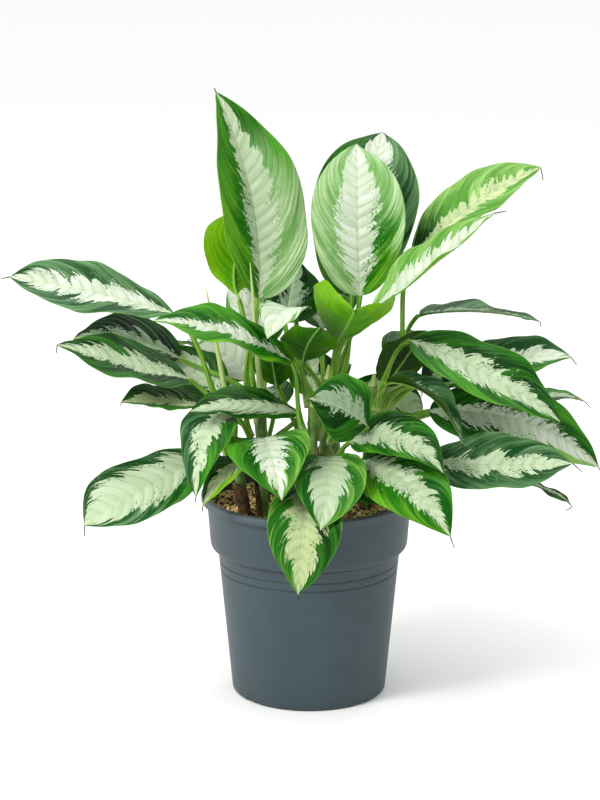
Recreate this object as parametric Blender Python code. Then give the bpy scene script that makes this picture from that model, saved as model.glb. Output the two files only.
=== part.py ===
"""A potted chinese evergreen: a plastic nursery pot, potting soil, stems and variegated leaves.

Lengths in the tables are millimetres and the model is in metres, with +Z up. The origin is the
middle of the pot's underside, and the front of the plant faces -Y.
"""
import math
from typing import NamedTuple

import bmesh
import bpy
from mathutils import Quaternion, Vector
from mathutils.bvhtree import BVHTree

MM = 0.001
GAP = 0.3

POT_HEIGHT = 228.0
LIP_RADIUS = 120.0
LIP_HEIGHT = 9.0
WALL = 2.0
BAND_TOP_RADIUS = 113.5
BAND_FOOT_RADIUS = 110.0
BAND_FOOT = 173.0
STEP_RADIUS = 101.5
STEP_FOOT = 163.5
GROOVES = (152.0, 142.5)
GROOVE_DEPTH = 0.9
GROOVE_HALF = 1.6
STEP_ROUND = (3.2, 2.2)
BAND_ROUND = (2.4, 3.4)
LIP_ROUND = 2.2
LIP_EDGE = (0.4, 1.8)
BODY_FOOT_RADIUS = 86.5
CORNER = 8.0
FOOT_RING = (71.0, 79.0)
CENTRE_PAD_RADIUS = 22.0
ARCH_HEIGHT = 4.0
ARCH_SLOPE = 2.0
FLOOR_TOP = 6.2
POT_SIDES = 40

DRAIN_HOLES = 6
DRAIN_RADIUS = 6.0
DRAIN_CIRCLE = 48.0
DRAIN_SIDES = 12
FOOT_NOTCHES = 4
NOTCH_SIZE = (20.0, 3.0)
NOTCH_BEARING = 48.0
CUT_MARGIN = 1.0
SHARP_ANGLE = 40.0

SOIL_TOP = 213.0
SOIL_SIDES = POT_SIDES
SOIL_RINGS = (100.0, 82.0, 58.0, 30.0)
SOIL_LUMP = 2.5
SOIL_WAVES = (9.0, 11.0, 7.0)
SOIL_LEVEL_RIM = 104.0
SOIL_RISE = 20.0
STEM_DEPTH = 35.0
SOCKET_RISE = 12.0

STEM_SIDES = 8
SCAR_SPACING = 22.0
SCAR_RISE = 0.7
STEM_TAPER = 0.18
SPEAR_RINGS = ((0.25, 3.4), (0.6, 2.6), (0.88, 1.4), (1.0, 0.5))

TOP_NODE = 0.97
NODE_SPAN = 0.6
STALK_LEAN = 0.5
SEATING_STEPS = 4
STALK_CLEARANCE = 0.4
STALK_SWINGS = (0.0, 30.0, -30.0, 60.0, -60.0, 90.0, -90.0)
STALK_DROPS = (0.0, 0.06, -0.06, 0.12)
STALK_BENDS = ((0.4, 0.3), (0.6, 0.3), (0.25, 0.5), (0.8, 0.2))

STALK_ROWS = (0.0, 0.3, 0.62, 0.9)
STALK_STEP = 0.02
SHEATH_SHARE = 0.4
BLADE_STEP = 0.01
FLAT_HALF = 8.0
WAVES_ALONG = 2.0
WAVE_LAG = 1.3
WAVE_PHASES = 7
BLADE_ROWS = (0.03, 0.13, 0.28, 0.44, 0.6, 0.75, 0.89, 1.0, 2.0)
ACROSS = (1.0, 0.55, 0.0, -0.55, -1.0)
RING = 2 * len(ACROSS)
TIP_POWER = 2.0
SHEATH_HALF = 4.8
STALK_HALF = 2.7
RIB_THICKNESS = 2.8
RIB_TIP_THICKNESS = 1.2
BLADE_THICKNESS = 1.0
EDGE_THICKNESS = 0.7
DRIP_HALF = 0.6
NOD_START = 0.55


class Finish(NamedTuple):
    """A plain colour with its roughness."""

    name: str
    colour: tuple
    roughness: float


class Stem(NamedTuple):
    """A cane from its foot on the soil to its top node, ending in a pointed new leaf."""

    foot: tuple
    top: tuple
    radius: float
    spear: tuple


class Leaf(NamedTuple):
    """A leaf on its stem: three points of its midrib and how its blade is held.

    face is the way its upper side looks. fold_left and fold_right raise the two halves, in
    degrees, as seen from above with the tip ahead. curl_left and curl_right bend the margins up
    further, twist turns the blade from base to tip, wave is the height of its edge's waves, and
    nod is how far the last part of the midrib bends down behind the blade. widest is where along
    the midrib the left and the right half are broadest. halves are the two halves' shares of an
    even half. A higher shoulder draws the blade's base out. drip is the thin end beyond the tip.
    """

    stem: str
    base: tuple
    middle: tuple
    tip: tuple
    width: float
    face: tuple
    fold_left: float = 10.0
    fold_right: float = 10.0
    curl_left: float = 0.0
    curl_right: float = 0.0
    twist: float = 0.0
    wave: float = 2.5
    nod: float = 0.0
    widest: tuple = (0.42, 0.42)
    halves: tuple = (1.0, 1.0)
    shoulder: float = 0.5
    drip: tuple = (0.0, 0.0, -6.0)


POT_PLASTIC = Finish("pot_plastic", (0.075, 0.105, 0.118), 0.55)
SOIL_CRUMB = Finish("soil_crumb", (0.16, 0.09, 0.05), 0.95)
STEM_GREEN = Finish("stem_green", (0.2, 0.33, 0.08), 0.5)
LEAF_GREEN = Finish("leaf_green", (0.1, 0.34, 0.07), 0.35)

STEMS = {
    "front": Stem((3, -47), (4, -45, 338), 6.5, (4, -42, 352)),
    "front_right": Stem((30, -28), (28, -32, 312), 6.0, (28, -32, 324)),
    "right": Stem((62, -12), (70, -8, 352), 7.0, (72, -8, 366)),
    "left": Stem((-50, -42), (-52, -30, 330), 6.5, (-64, -22, 492)),
    "far_left": Stem((-70, -42), (-86, -30, 318), 6.0, (-112, -14, 461)),
    "rear": Stem((15, 48), (22, 52, 345), 7.0, (22, 54, 360)),
    "rear_right": Stem((68, 42), (82, 46, 335), 7.0, (84, 46, 350)),
    "rear_left": Stem((-48, 38), (-58, 43, 322), 6.5, (-59, 44, 336)),
}

LEAVES = {
    "tall_left": Leaf(
        "left", (-55, 8, 446), (-63, 45, 552), (-102, 62, 666), 118, (0.35, -0.85, 0.3), 32, 8,
        widest=(0.42, 0.43), drip=(-2, 1, 4)
    ),
    "behind_tall_left": Leaf(
        "left", (-78, 42, 438), (-82, 74, 474), (-58, 104, 526), 84, (-0.4, 0.8, -0.35), 8, 12,
        widest=(0.6, 0.66), shoulder=2.0, drip=(3, 2, 4)
    ),
    "tall_centre": Leaf(
        "rear", (56, 4, 450), (53, 12, 540), (55, 45, 613), 104, (0.05, -0.95, 0.2), 8, 8,
        nod=45, widest=(0.5, 0.5), drip=(0, 6, -8)
    ),
    "behind_tall_centre": Leaf(
        "rear", (48, 60, 440), (62, 76, 534), (84, 104, 625), 118, (0.0, -0.9, 0.35), 10, 10,
        nod=50, widest=(0.56, 0.56), drip=(0, 6, -8)
    ),
    "upper_right_low": Leaf(
        "front_right", (66, -26, 437), (134, -20, 492), (201, 13, 540), 70, (-0.35, -0.45, 0.8), 9, 20,
        curl_right=35, widest=(0.45, 0.45), shoulder=0.8, drip=(14, 2, 2)
    ),
    "upper_right_high": Leaf(
        "rear_right", (114, 30, 490), (187, 55, 544), (257, 75, 580), 70, (-0.4, -0.6, 0.65), 12, 12,
        widest=(0.5, 0.45), halves=(1.12, 0.75), shoulder=0.7, drip=(3, 2, -15)
    ),
    "centre_cupped": Leaf(
        "front", (31, -25, 405), (41, -85, 437), (48, -150, 469), 116, (0.05, 0.55, 0.8), 8, 19,
        curl_left=50, curl_right=60, widest=(0.5, 0.5), shoulder=0.36
    ),
    "right_thin": Leaf(
        "rear_right", (123, 45, 420), (190, 55, 421), (259, 60, 408), 64, (0.0, 0.05, 1.0)
    ),
    "right_large": Leaf(
        "right", (110, -40, 410), (193, -65, 377), (270, -80, 330), 82, (0.3, -0.6, 0.75),
        widest=(0.55, 0.42), drip=(2, 0, -4)
    ),
    "right_behind_large": Leaf(
        "rear_right", (155, 15, 348), (227, 22, 372), (290, 15, 378), 78, (0.0, -0.4, 0.9),
        drip=(6, 0, -9)
    ),
    "right_far_thin": Leaf(
        "rear_right", (205, 50, 316), (264, 60, 322), (311, 65, 315), 52, (0.0, 0.0, 1.0), drip=(7, 0, -8)
    ),
    "right_wide": Leaf(
        "rear_right", (134, 15, 317), (240, -5, 308), (319, -25, 263), 94, (0.15, -0.75, 0.65),
        halves=(0.82, 1.0), drip=(2, 0, -4)
    ),
    "right_low": Leaf(
        "right", (126, -55, 277), (211, -92, 284), (282, -108, 291), 78, (0.0, -0.6, 0.75),
        drip=(11, 0, -10)
    ),
    "right_under_low": Leaf(
        "right", (180, -10, 250), (252, -30, 243), (290, -38, 221), 40, (0.1, -0.1, 1.0),
        halves=(0.5, 1.0), drip=(-8, -3, -4)
    ),
    "right_folded": Leaf(
        "right", (85, -45, 365), (132, -75, 355), (165, -90, 308), 40, (0.2, -0.3, 0.9), 42, 52
    ),
    "right_inner": Leaf(
        "rear_right", (178, 60, 366), (155, 40, 357), (125, 15, 338), 62, (0.0, -0.5, 0.8), shoulder=0.7
    ),
    "right_inner_underside": Leaf(
        "right", (85, 15, 345), (108, 2, 382), (128, -12, 415), 56, (0.1, 0.6, 0.7)
    ),
    "right_inner_pale": Leaf(
        "rear", (42, 74, 323), (96, 74, 316), (129, 74, 300), 50, (0.0, -0.9, 0.45)
    ),
    "low_right_small": Leaf(
        "front_right", (45, -62, 302), (99, -108, 319), (142, -142, 290), 58, (0.1, -0.75, 0.65)
    ),
    "low_right_large": Leaf(
        "front_right", (55, -62, 280), (105, -122, 272), (150, -152, 222), 84, (0.05, -0.8, 0.6),
        drip=(4, -2, -12)
    ),
    "front_hanging": Leaf(
        "front", (-4, -85, 262), (-5, -148, 232), (-12, -150, 157), 81, (0.0, -0.9, 0.45),
        widest=(0.5, 0.5)
    ),
    "front_left": Leaf(
        "left", (-50, -62, 306), (-42, -112, 303), (-29, -160, 265), 92, (0.05, -0.75, 0.65), wave=4
    ),
    "front_right": Leaf(
        "front", (22, -62, 285), (22, -120, 280), (12, -160, 232), 80, (0.0, -0.75, 0.65),
        widest=(0.58, 0.55)
    ),
    "left_drooping": Leaf(
        "far_left", (-82, -52, 330), (-109, -90, 320), (-122, -115, 255), 62, (-0.35, -0.8, 0.45)
    ),
    "left_under": Leaf(
        "left", (-50, -55, 272), (-82, -85, 280), (-115, -110, 243), 58, (-0.1, -0.1, 1.0)
    ),
    "low_left": Leaf(
        "far_left", (-115, -12, 271), (-182, -50, 245), (-245, -75, 211), 78, (-0.25, -0.8, 0.5),
        widest=(0.5, 0.75), drip=(0, -2, -12)
    ),
    "left_middle": Leaf(
        "left", (-10, -45, 330), (-68, -80, 350), (-128, -100, 346), 78, (0.0, -0.25, 1.0), -55, 4,
        curl_left=-45, halves=(0.4, 1.0)
    ),
    "left_behind_middle": Leaf(
        "far_left", (-112, -15, 328), (-158, -20, 337), (-206, -30, 338), 74, (0.0, -0.15, 1.0),
        widest=(0.5, 0.62), drip=(0, 0, -4)
    ),
    "left_long_low": Leaf(
        "far_left", (-134, 5, 356), (-201, -30, 382), (-272, -55, 409), 84, (0.0, -0.4, 0.9),
        widest=(0.5, 0.45), drip=(-1, -2, -9)
    ),
    "left_long_behind": Leaf(
        "rear_left", (-145, 45, 370), (-205, 45, 392), (-262, 40, 393), 78, (0.0, -0.4, 0.9)
    ),
    "left_long_high": Leaf(
        "far_left", (-148, 12, 428), (-234, 5, 453), (-327, 0, 472), 80, (-0.1, -0.5, 0.85),
        widest=(0.66, 0.66), shoulder=0.85, drip=(-9, 0, -2)
    ),
    "centre_left": Leaf(
        "front", (-20, -60, 392), (-92, -95, 434), (-165, -115, 449), 68, (0.0, -0.45, 0.9), wave=4
    ),
    "centre_pale": Leaf(
        "front", (-16, -8, 432), (-28, -55, 447), (-45, -95, 425), 54, (-0.1, -0.5, 0.8)
    ),
    "centre_underside": Leaf(
        "front", (-6, -24, 384), (0, -68, 414), (12, -112, 441), 62, (0.1, 0.6, 0.8)
    ),
    "centre_round": Leaf(
        "front", (-35, 0, 350), (-40, -15, 382), (-45, -25, 415), 46, (0.0, 0.95, 0.3),
        drip=(-1, -3, 3)
    ),
    "centre_twisted": Leaf(
        "front_right", (62, -86, 326), (33, -108, 352), (0, -125, 366), 76, (0.1, -0.85, 0.5), 5, 34,
        widest=(0.5, 0.6), shoulder=0.8, drip=(-4, -2, -3)
    ),
    "low_right_inner": Leaf(
        "front_right", (38, -50, 250), (58, -72, 254), (84, -90, 237), 42, (0.0, -0.8, 0.6)
    ),
    "rear_left_pale": Leaf(
        "rear_left", (-70, 72, 338), (-94, 86, 364), (-132, 108, 362), 80, (0.0, -0.8, 0.6)
    ),
    "rear_left_crinkled": Leaf(
        "rear_left", (-95, 25, 330), (-132, 45, 357), (-165, 60, 365), 60, (0.0, -0.7, 0.7), wave=6
    ),
    "rear_upper_dark": Leaf(
        "rear", (-27, 70, 405), (-20, 92, 438), (-13, 115, 467), 76, (0.2, -0.8, 0.6),
        halves=(0.6, 1.0)
    ),
    "rear_upper_pale": Leaf(
        "rear_left", (-45, 75, 378), (-65, 98, 412), (-92, 120, 432), 66, (0.0, -0.8, 0.6)
    ),
    "rear_centre": Leaf("rear", (4, 78, 315), (4, 98, 341), (-3, 125, 366), 56, (0.0, -0.8, 0.6)),
    "rear_reaching": Leaf("rear", (15, 105, 390), (22, 172, 412), (30, 250, 370), 84, (0.0, 0.1, 1.0)),
    "rear_right_reaching": Leaf(
        "rear_right", (100, 112, 345), (140, 170, 360), (182, 225, 328), 86, (0.1, 0.1, 1.0)
    ),
    "rear_left_reaching": Leaf(
        "rear_left", (-72, 115, 340), (-118, 160, 360), (-168, 218, 335), 84, (-0.1, 0.1, 1.0)
    ),
    "rear_tall": Leaf("rear", (40, 95, 430), (52, 132, 500), (52, 198, 545), 88, (0.0, 0.85, -0.4)),
    "rear_low_left": Leaf(
        "rear_left", (-40, 90, 300), (-62, 152, 305), (-82, 215, 255), 80, (-0.1, 0.5, 0.85)
    ),
    "rear_low_right": Leaf(
        "rear_right", (60, 90, 300), (87, 152, 305), (112, 215, 252), 80, (0.1, 0.5, 0.85)
    ),
    "rear_low": Leaf("rear", (10, 110, 308), (10, 162, 330), (5, 228, 298), 80, (0.0, 0.3, 0.95)),
}


def clear_scene():
    """Removes whatever the scene holds."""
    for thing in list(bpy.data.objects):
        bpy.data.objects.remove(thing, do_unlink=True)


def material(finish):
    """A Principled material in the finish's colour."""
    made = bpy.data.materials.get(finish.name)
    if made:
        return made
    made = bpy.data.materials.new(finish.name)
    made.use_nodes = True
    shader = made.node_tree.nodes["Principled BSDF"]
    shader.inputs["Base Color"].default_value = (*finish.colour, 1.0)
    shader.inputs["Roughness"].default_value = finish.roughness
    shader.inputs["Metallic"].default_value = 0.0
    return made


def add_object(name, points, faces, finish):
    """An object from points in millimetres and faces, shaded smooth, facing out."""
    mesh = bpy.data.meshes.new(name)
    mesh.from_pydata([Vector(p) * MM for p in points], [], faces)
    shape = bmesh.new()
    shape.from_mesh(mesh)
    if shape.calc_volume(signed=True) < 0.0:
        bmesh.ops.reverse_faces(shape, faces=shape.faces)
    shape.to_mesh(mesh)
    shape.free()
    mesh.shade_smooth()
    mesh.set_sharp_from_angle(angle=math.radians(SHARP_ANGLE))
    mesh.materials.append(material(finish))
    thing = bpy.data.objects.new(name, mesh)
    bpy.context.scene.collection.objects.link(thing)
    return thing


def lathe(profile, sides):
    """Turns a closed profile of (radius, height), which starts and ends on the axis, round Z."""
    points = [(0.0, 0.0, profile[0][1]), (0.0, 0.0, profile[-1][1])]
    inner = profile[1:-1]
    for radius, height in inner:
        for side in range(sides):
            turn = 2.0 * math.pi * side / sides
            points.append((radius * math.cos(turn), radius * math.sin(turn), height))
    faces = []
    for side in range(sides):
        after = (side + 1) % sides
        faces.append((0, 2 + after, 2 + side))
        last = 2 + (len(inner) - 1) * sides
        faces.append((1, last + side, last + after))
        for ring in range(len(inner) - 1):
            low = 2 + ring * sides
            high = low + sides
            faces.append((low + side, low + after, high + after, high + side))
    return points, faces


def arc(centre, radius, start, end, steps):
    """Points on a round corner of the profile, angles in degrees."""
    turns = [math.radians(start + (end - start) * step / steps) for step in range(steps + 1)]
    return [(centre[0] + radius * math.cos(a), centre[1] + radius * math.sin(a)) for a in turns]


def body_radius(height):
    """Outer radius of the tapered body below the band."""
    share = (height - CORNER) / (STEP_FOOT - CORNER)
    return BODY_FOOT_RADIUS + (STEP_RADIUS - BODY_FOOT_RADIUS) * share


def inner_wall():
    """The inner face of the pot, from just under the rim down to the floor."""
    return [
        (BAND_TOP_RADIUS - WALL, POT_HEIGHT - LIP_HEIGHT),
        (BAND_FOOT_RADIUS - WALL, BAND_FOOT + WALL),
        (STEP_RADIUS - WALL, STEP_FOOT - WALL),
        (BODY_FOOT_RADIUS - WALL, FLOOR_TOP + CORNER / 2),
        (BODY_FOOT_RADIUS - WALL - CORNER / 2, FLOOR_TOP),
    ]


def outer_wall():
    """The outer face of the pot, from the foot ring up to the lip."""
    wall = arc((BODY_FOOT_RADIUS - CORNER, CORNER), CORNER, -78, 0, 3)
    for groove in reversed(GROOVES):
        for rise, depth in ((-GROOVE_HALF, 0.0), (0.0, GROOVE_DEPTH), (GROOVE_HALF, 0.0)):
            height = groove + rise
            wall.append((body_radius(height) - depth, height))
    lip_foot = POT_HEIGHT - LIP_HEIGHT
    wall += [
        (STEP_RADIUS, STEP_FOOT),
        (STEP_RADIUS + STEP_ROUND[0], STEP_FOOT + STEP_ROUND[1]),
        (BAND_FOOT_RADIUS - BAND_ROUND[0], BAND_FOOT - BAND_ROUND[1]),
        (BAND_FOOT_RADIUS, BAND_FOOT),
        (BAND_TOP_RADIUS, lip_foot - LIP_ROUND / 2),
        (LIP_RADIUS - LIP_ROUND, lip_foot),
        (LIP_RADIUS, lip_foot + LIP_ROUND),
        (LIP_RADIUS - LIP_EDGE[0], POT_HEIGHT - LIP_EDGE[1]),
        (LIP_RADIUS - LIP_ROUND, POT_HEIGHT),
        (BAND_TOP_RADIUS, POT_HEIGHT),
    ]
    return wall


def pot_profile():
    """The pot's whole section: underside, outer wall, lip, inner wall and floor."""
    ring_inner, ring_outer = FOOT_RING
    underside = [
        (0.0, 0.0),
        (CENTRE_PAD_RADIUS, 0.0),
        (CENTRE_PAD_RADIUS + ARCH_SLOPE, ARCH_HEIGHT),
        (ring_inner - ARCH_SLOPE, ARCH_HEIGHT),
        (ring_inner, 0.0),
        (ring_outer, 0.0),
    ]
    return underside + outer_wall() + inner_wall() + [(0.0, FLOOR_TOP)]


def cut(thing, cutters):
    """Cuts the cutters out of thing and removes them."""
    for cutter in cutters:
        cutter.hide_render = True
        cutter.display_type = "WIRE"
        step = thing.modifiers.new("cut", "BOOLEAN")
        step.operation = "DIFFERENCE"
        step.solver = "MANIFOLD"
        step.object = cutter
        bpy.context.view_layer.objects.active = thing
        bpy.ops.object.modifier_apply(modifier=step.name)
        bpy.data.objects.remove(cutter, do_unlink=True)


def round_post(name, centre):
    """A plain upright post through the pot's floor, used as a cutter."""
    low = -CUT_MARGIN
    high = FLOOR_TOP + CUT_MARGIN
    profile = [(0.0, low), (DRAIN_RADIUS, low), (DRAIN_RADIUS, high), (0.0, high)]
    points, faces = lathe(profile, DRAIN_SIDES)
    shifted = [(x + centre[0], y + centre[1], z) for x, y, z in points]
    return add_object(name, shifted, faces, POT_PLASTIC)


def notch_block(name, bearing):
    """A block across the foot ring at a bearing from the front, used as a cutter."""
    wide, high = NOTCH_SIZE
    near = FOOT_RING[0] - 2.0 * ARCH_SLOPE
    far = FOOT_RING[1] + CORNER
    turn = math.radians(bearing - 90.0)
    corners = []
    for radius in (near, far):
        for side in (-wide / 2, wide / 2):
            for level in (-CUT_MARGIN, high):
                x = radius * math.cos(turn) - side * math.sin(turn)
                y = radius * math.sin(turn) + side * math.cos(turn)
                corners.append((x, y, level))
    faces = [(0, 1, 3, 2), (4, 6, 7, 5), (0, 4, 5, 1), (2, 3, 7, 6), (0, 2, 6, 4), (1, 5, 7, 3)]
    return add_object(name, corners, faces, POT_PLASTIC)


def build_pot():
    """The nursery pot with its drain holes and the notches in its foot ring."""
    points, faces = lathe(pot_profile(), POT_SIDES)
    pot = add_object("pot", points, faces, POT_PLASTIC)
    cutters = []
    for hole in range(DRAIN_HOLES):
        turn = 2.0 * math.pi * (hole + 0.5) / DRAIN_HOLES
        centre = (DRAIN_CIRCLE * math.cos(turn), DRAIN_CIRCLE * math.sin(turn))
        cutters.append(round_post(f"drain_{hole}", centre))
    for notch in range(FOOT_NOTCHES):
        cutters.append(notch_block(f"notch_{notch}", 360.0 * notch / FOOT_NOTCHES - NOTCH_BEARING))
    cut(pot, cutters)
    return pot


def soil_profile():
    """The soil's section: it fills the pot to below the rim, clear of the wall by the gap."""
    inside = [(radius - GAP, height) for radius, height in inner_wall()]
    rim_inside, rest = inside[0], inside[1:]
    share = (SOIL_TOP - rest[0][1]) / (rim_inside[1] - rest[0][1])
    edge_radius = rest[0][0] + (rim_inside[0] - rest[0][0]) * share
    sides = [(radius, height + GAP) for radius, height in reversed(rest)]
    top = [(radius, SOIL_TOP) for radius in SOIL_RINGS]
    return [(0.0, FLOOR_TOP + GAP)] + sides + [(edge_radius, SOIL_TOP)] + top + [(0.0, SOIL_TOP)]


def lumpy(point):
    """The soil's top raised and sunk by a few crossing waves, level at its edge."""
    x, y, z = point
    if z < SOIL_TOP:
        return point
    inward = min(1.0, max(0.0, (SOIL_LEVEL_RIM - math.hypot(x, y)) / SOIL_RISE))
    first, second, third = SOIL_WAVES
    wave = math.sin(x / first + 1.0) * math.cos(y / second) + 0.6 * math.sin((x + 2.0 * y) / third)
    return (x, y, z + inward * SOIL_LUMP * wave)


def stem_line(stem, below=0.0):
    """The ends of a stem's middle line, from a depth below the soil to its top node."""
    foot = Vector((*stem.foot, SOIL_TOP))
    top = Vector(stem.top)
    along = (top - foot).normalized()
    return foot - along * below, top


def tube(centres, radii, sides):
    """A closed tube round a line of centres, its rings level with the ground."""
    points = []
    for centre, radius in zip(centres, radii):
        for side in range(sides):
            turn = 2.0 * math.pi * side / sides
            x = centre[0] + radius * math.cos(turn)
            y = centre[1] + radius * math.sin(turn)
            points.append((x, y, centre[2]))
    faces = [tuple(reversed(range(sides)))]
    for ring in range(len(centres) - 1):
        low = ring * sides
        for side in range(sides):
            after = (side + 1) % sides
            faces.append((low + side, low + after, low + sides + after, low + sides + side))
    faces.append(tuple(range(len(points) - sides, len(points))))
    return points, faces


def stem_mesh(stem):
    """Points and faces of a ringed cane that ends in a rolled new leaf."""
    start, top = stem_line(stem, STEM_DEPTH)
    count = 2 * max(2, round((top - start).length / SCAR_SPACING / 2.0))
    centres, radii = [], []
    for ring in range(count + 1):
        share = ring / count
        centres.append(start.lerp(top, share))
        radii.append(stem.radius * (1.0 - STEM_TAPER * share) + (SCAR_RISE if ring % 2 else 0.0))
    spear = Vector(stem.spear)
    for share, radius in SPEAR_RINGS:
        centres.append(top.lerp(spear, share))
        radii.append(radius)
    return tube(centres, radii, STEM_SIDES)


def build_stem(name, stem):
    """A stem as an object."""
    return add_object(f"stem_{name}", *stem_mesh(stem), STEM_GREEN)


def stem_socket(name, stem):
    """The plain hole that a stem stands in, used as a cutter."""
    start = stem_line(stem, STEM_DEPTH + GAP)[0]
    end = stem_line(stem, -SOCKET_RISE)[0]
    radius = stem.radius + SCAR_RISE + GAP
    points, faces = tube([start, end], [radius, radius], STEM_SIDES)
    return add_object(f"socket_{name}", points, faces, SOIL_CRUMB)


def build_soil():
    """The potting soil, with a hole for each stem."""
    points, faces = lathe(soil_profile(), SOIL_SIDES)
    soil = add_object("soil", [lumpy(point) for point in points], faces, SOIL_CRUMB)
    cut(soil, [stem_socket(name, stem) for name, stem in STEMS.items()])
    return soil


def bezier(start, handle, other_handle, end, t):
    """A point on a cubic curve."""
    s = 1.0 - t
    return start * s**3 + handle * (3 * s * s * t) + other_handle * (3 * s * t * t) + end * t**3


def outline(t, widest, shoulder):
    """The blade's half-width along it: round at the base, drawn out at the tip."""
    if t < widest:
        away = (widest - t) / widest
        return (1.0 - away * away) ** shoulder
    away = min(1.0, (t - widest) / (1.0 - widest))
    return 1.0 - away**TIP_POWER


class Shape:
    """Works out the points of one leaf."""

    def __init__(self, name, leaf):
        """Takes the leaf; its stalk is placed afterwards."""
        self.leaf = leaf
        self.base = Vector(leaf.base)
        self.tip = Vector(leaf.tip)
        self.control = 2.0 * Vector(leaf.middle) - (self.base + self.tip) / 2.0
        self.phase = sum(ord(letter) for letter in name) % WAVE_PHASES

    def place_stalk(self, height, swing, bend, stem_surface):
        """Sets where the stalk leaves its stem, its swing to one side and how it bends.

        The foot of the stalk slides towards the stem until it is the gap away.
        """
        stem = STEMS[self.leaf.stem]
        foot, top = stem_line(stem)
        axis = foot.lerp(top, height)
        bearing = math.atan2(self.base.y - axis.y, self.base.x - axis.x) + math.radians(swing)
        self.outward = Vector((math.cos(bearing), math.sin(bearing), 0.0))
        reach = stem.radius + SCAR_RISE + GAP + SHEATH_HALF
        for _ in range(SEATING_STEPS):
            self.bend_stalk(axis + self.outward * reach, bend)
            foot_points = self.stalk_ring(STALK_ROWS[0]) + self.stalk_ring(STALK_ROWS[1])
            reach -= min(stem_surface.find_nearest(point)[3] for point in foot_points) - GAP

    def bend_stalk(self, start, bend):
        """Draws the stalk's curve from its foot to the blade."""
        self.start = start
        to_base = self.base - start
        lean = (self.outward * STALK_LEAN + Vector((0.0, 0.0, 1.0))).normalized()
        along_blade = (self.control - self.base).normalized()
        arrive = (along_blade + to_base.normalized()).normalized()
        self.handle = start + lean * (to_base.length * bend[0])
        self.other_handle = self.base - arrive * (to_base.length * bend[1])

    def stalk_point(self, t):
        """A point on the stalk."""
        return bezier(self.start, self.handle, self.other_handle, self.base, t)

    def rib_point(self, t):
        """A point on the midrib, or beyond t = 1 on the drip."""
        if t > 1.0:
            return self.rib_point(1.0) + Vector(self.leaf.drip) * (t - 1.0)
        s = 1.0 - t
        nodding = self.leaf.nod * (max(0.0, t - NOD_START) / (1.0 - NOD_START)) ** 2
        on_curve = self.base * (s * s) + self.control * (2.0 * s * t) + self.tip * (t * t)
        return on_curve - Vector(self.leaf.face).normalized() * nodding

    def frame(self, before, after, face):
        """The left-hand and upward directions across a line through two points."""
        along = (after - before).normalized()
        face = Vector(face)
        up = (face - along * face.dot(along)).normalized()
        return up.cross(along), up

    def blade_frame(self, t):
        """The left-hand and upward directions of the blade, turned into the drip beyond its tip."""
        before = self.rib_point(min(t, 1.0) - BLADE_STEP)
        after = self.rib_point(min(t, 1.0))
        left, up = self.frame(before, after, self.leaf.face)
        if t < 1.0:
            return left, up
        share = 1.0 if t > 1.0 else 0.5
        turn = Quaternion().slerp((after - before).rotation_difference(Vector(self.leaf.drip)), share)
        return turn @ left, turn @ up

    def stalk_ring(self, t, extra=0.0):
        """A rounded ring of the stalk, in the same order as a ring of the blade."""
        along = self.stalk_point(t + STALK_STEP) - self.stalk_point(t - STALK_STEP)
        turn = (self.rib_point(BLADE_STEP) - self.base).rotation_difference(along)
        left, up = (turn @ side for side in self.frame(self.base, self.rib_point(BLADE_STEP), self.leaf.face))
        half = SHEATH_HALF + (STALK_HALF - SHEATH_HALF) * min(1.0, t / SHEATH_SHARE) + extra
        centre = self.stalk_point(t)
        ring = []
        for place in range(RING):
            turn = 2.0 * math.pi * (place + 0.5) / RING
            ring.append(centre + left * (half * math.cos(turn)) + up * (half * math.sin(turn)))
        return ring

    def section(self, t, across):
        """Sideways and upward offsets of the blade's middle surface, with its slope."""
        leaf = self.leaf
        on_left = across > 0.0
        sign = 1.0 if on_left else -1.0
        place = 0 if on_left else 1
        broad = leaf.halves[place] * leaf.width / 2.0
        half = max(DRIP_HALF, broad * outline(t, leaf.widest[place], leaf.shoulder))
        ease = min(1.0, half / FLAT_HALF)
        fold = math.radians(leaf.fold_left if on_left else leaf.fold_right) * ease
        curl = math.radians(leaf.curl_left if on_left else leaf.curl_right) * ease * abs(across)
        slope = fold + curl / 2.0
        reach = half * abs(across)
        ripple = leaf.wave * across * across * math.sin(math.pi * min(1.0, t))
        ripple *= math.sin(2.0 * math.pi * WAVES_ALONG * t + self.phase + (WAVE_LAG if on_left else 0.0))
        return sign * reach * math.cos(slope), reach * math.sin(slope) + ripple, sign * (fold + curl)

    def blade_ring(self, t):
        """A ring round the blade: five points on its upper side and five on its underside."""
        level_left, level_up = self.blade_frame(t)
        turn = math.radians(self.leaf.twist * min(1.0, t))
        left = level_left * math.cos(turn) + level_up * math.sin(turn)
        up = level_up * math.cos(turn) - level_left * math.sin(turn)
        centre = self.rib_point(t)
        rib = RIB_THICKNESS + (RIB_TIP_THICKNESS - RIB_THICKNESS) * min(1.0, t)
        upper, lower = [], []
        for across in ACROSS:
            side, rise, slope = self.section(t, across)
            middle = centre + left * side + up * rise
            normal = up * math.cos(slope) - left * math.sin(slope)
            above = below = EDGE_THICKNESS / 2.0
            if abs(across) < 1.0:
                above = below = BLADE_THICKNESS / 2.0
            if across == 0.0:
                normal = up
                below = rib - above
            upper.append(middle + normal * above)
            lower.append(middle - normal * below)
        return upper + lower[::-1]

    def stalk_rings(self, extra=0.0):
        """All rings of the stalk."""
        return [self.stalk_ring(t, extra) for t in STALK_ROWS]

    def blade_rings(self):
        """All rings of the blade."""
        return [self.blade_ring(t) for t in BLADE_ROWS]


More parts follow.
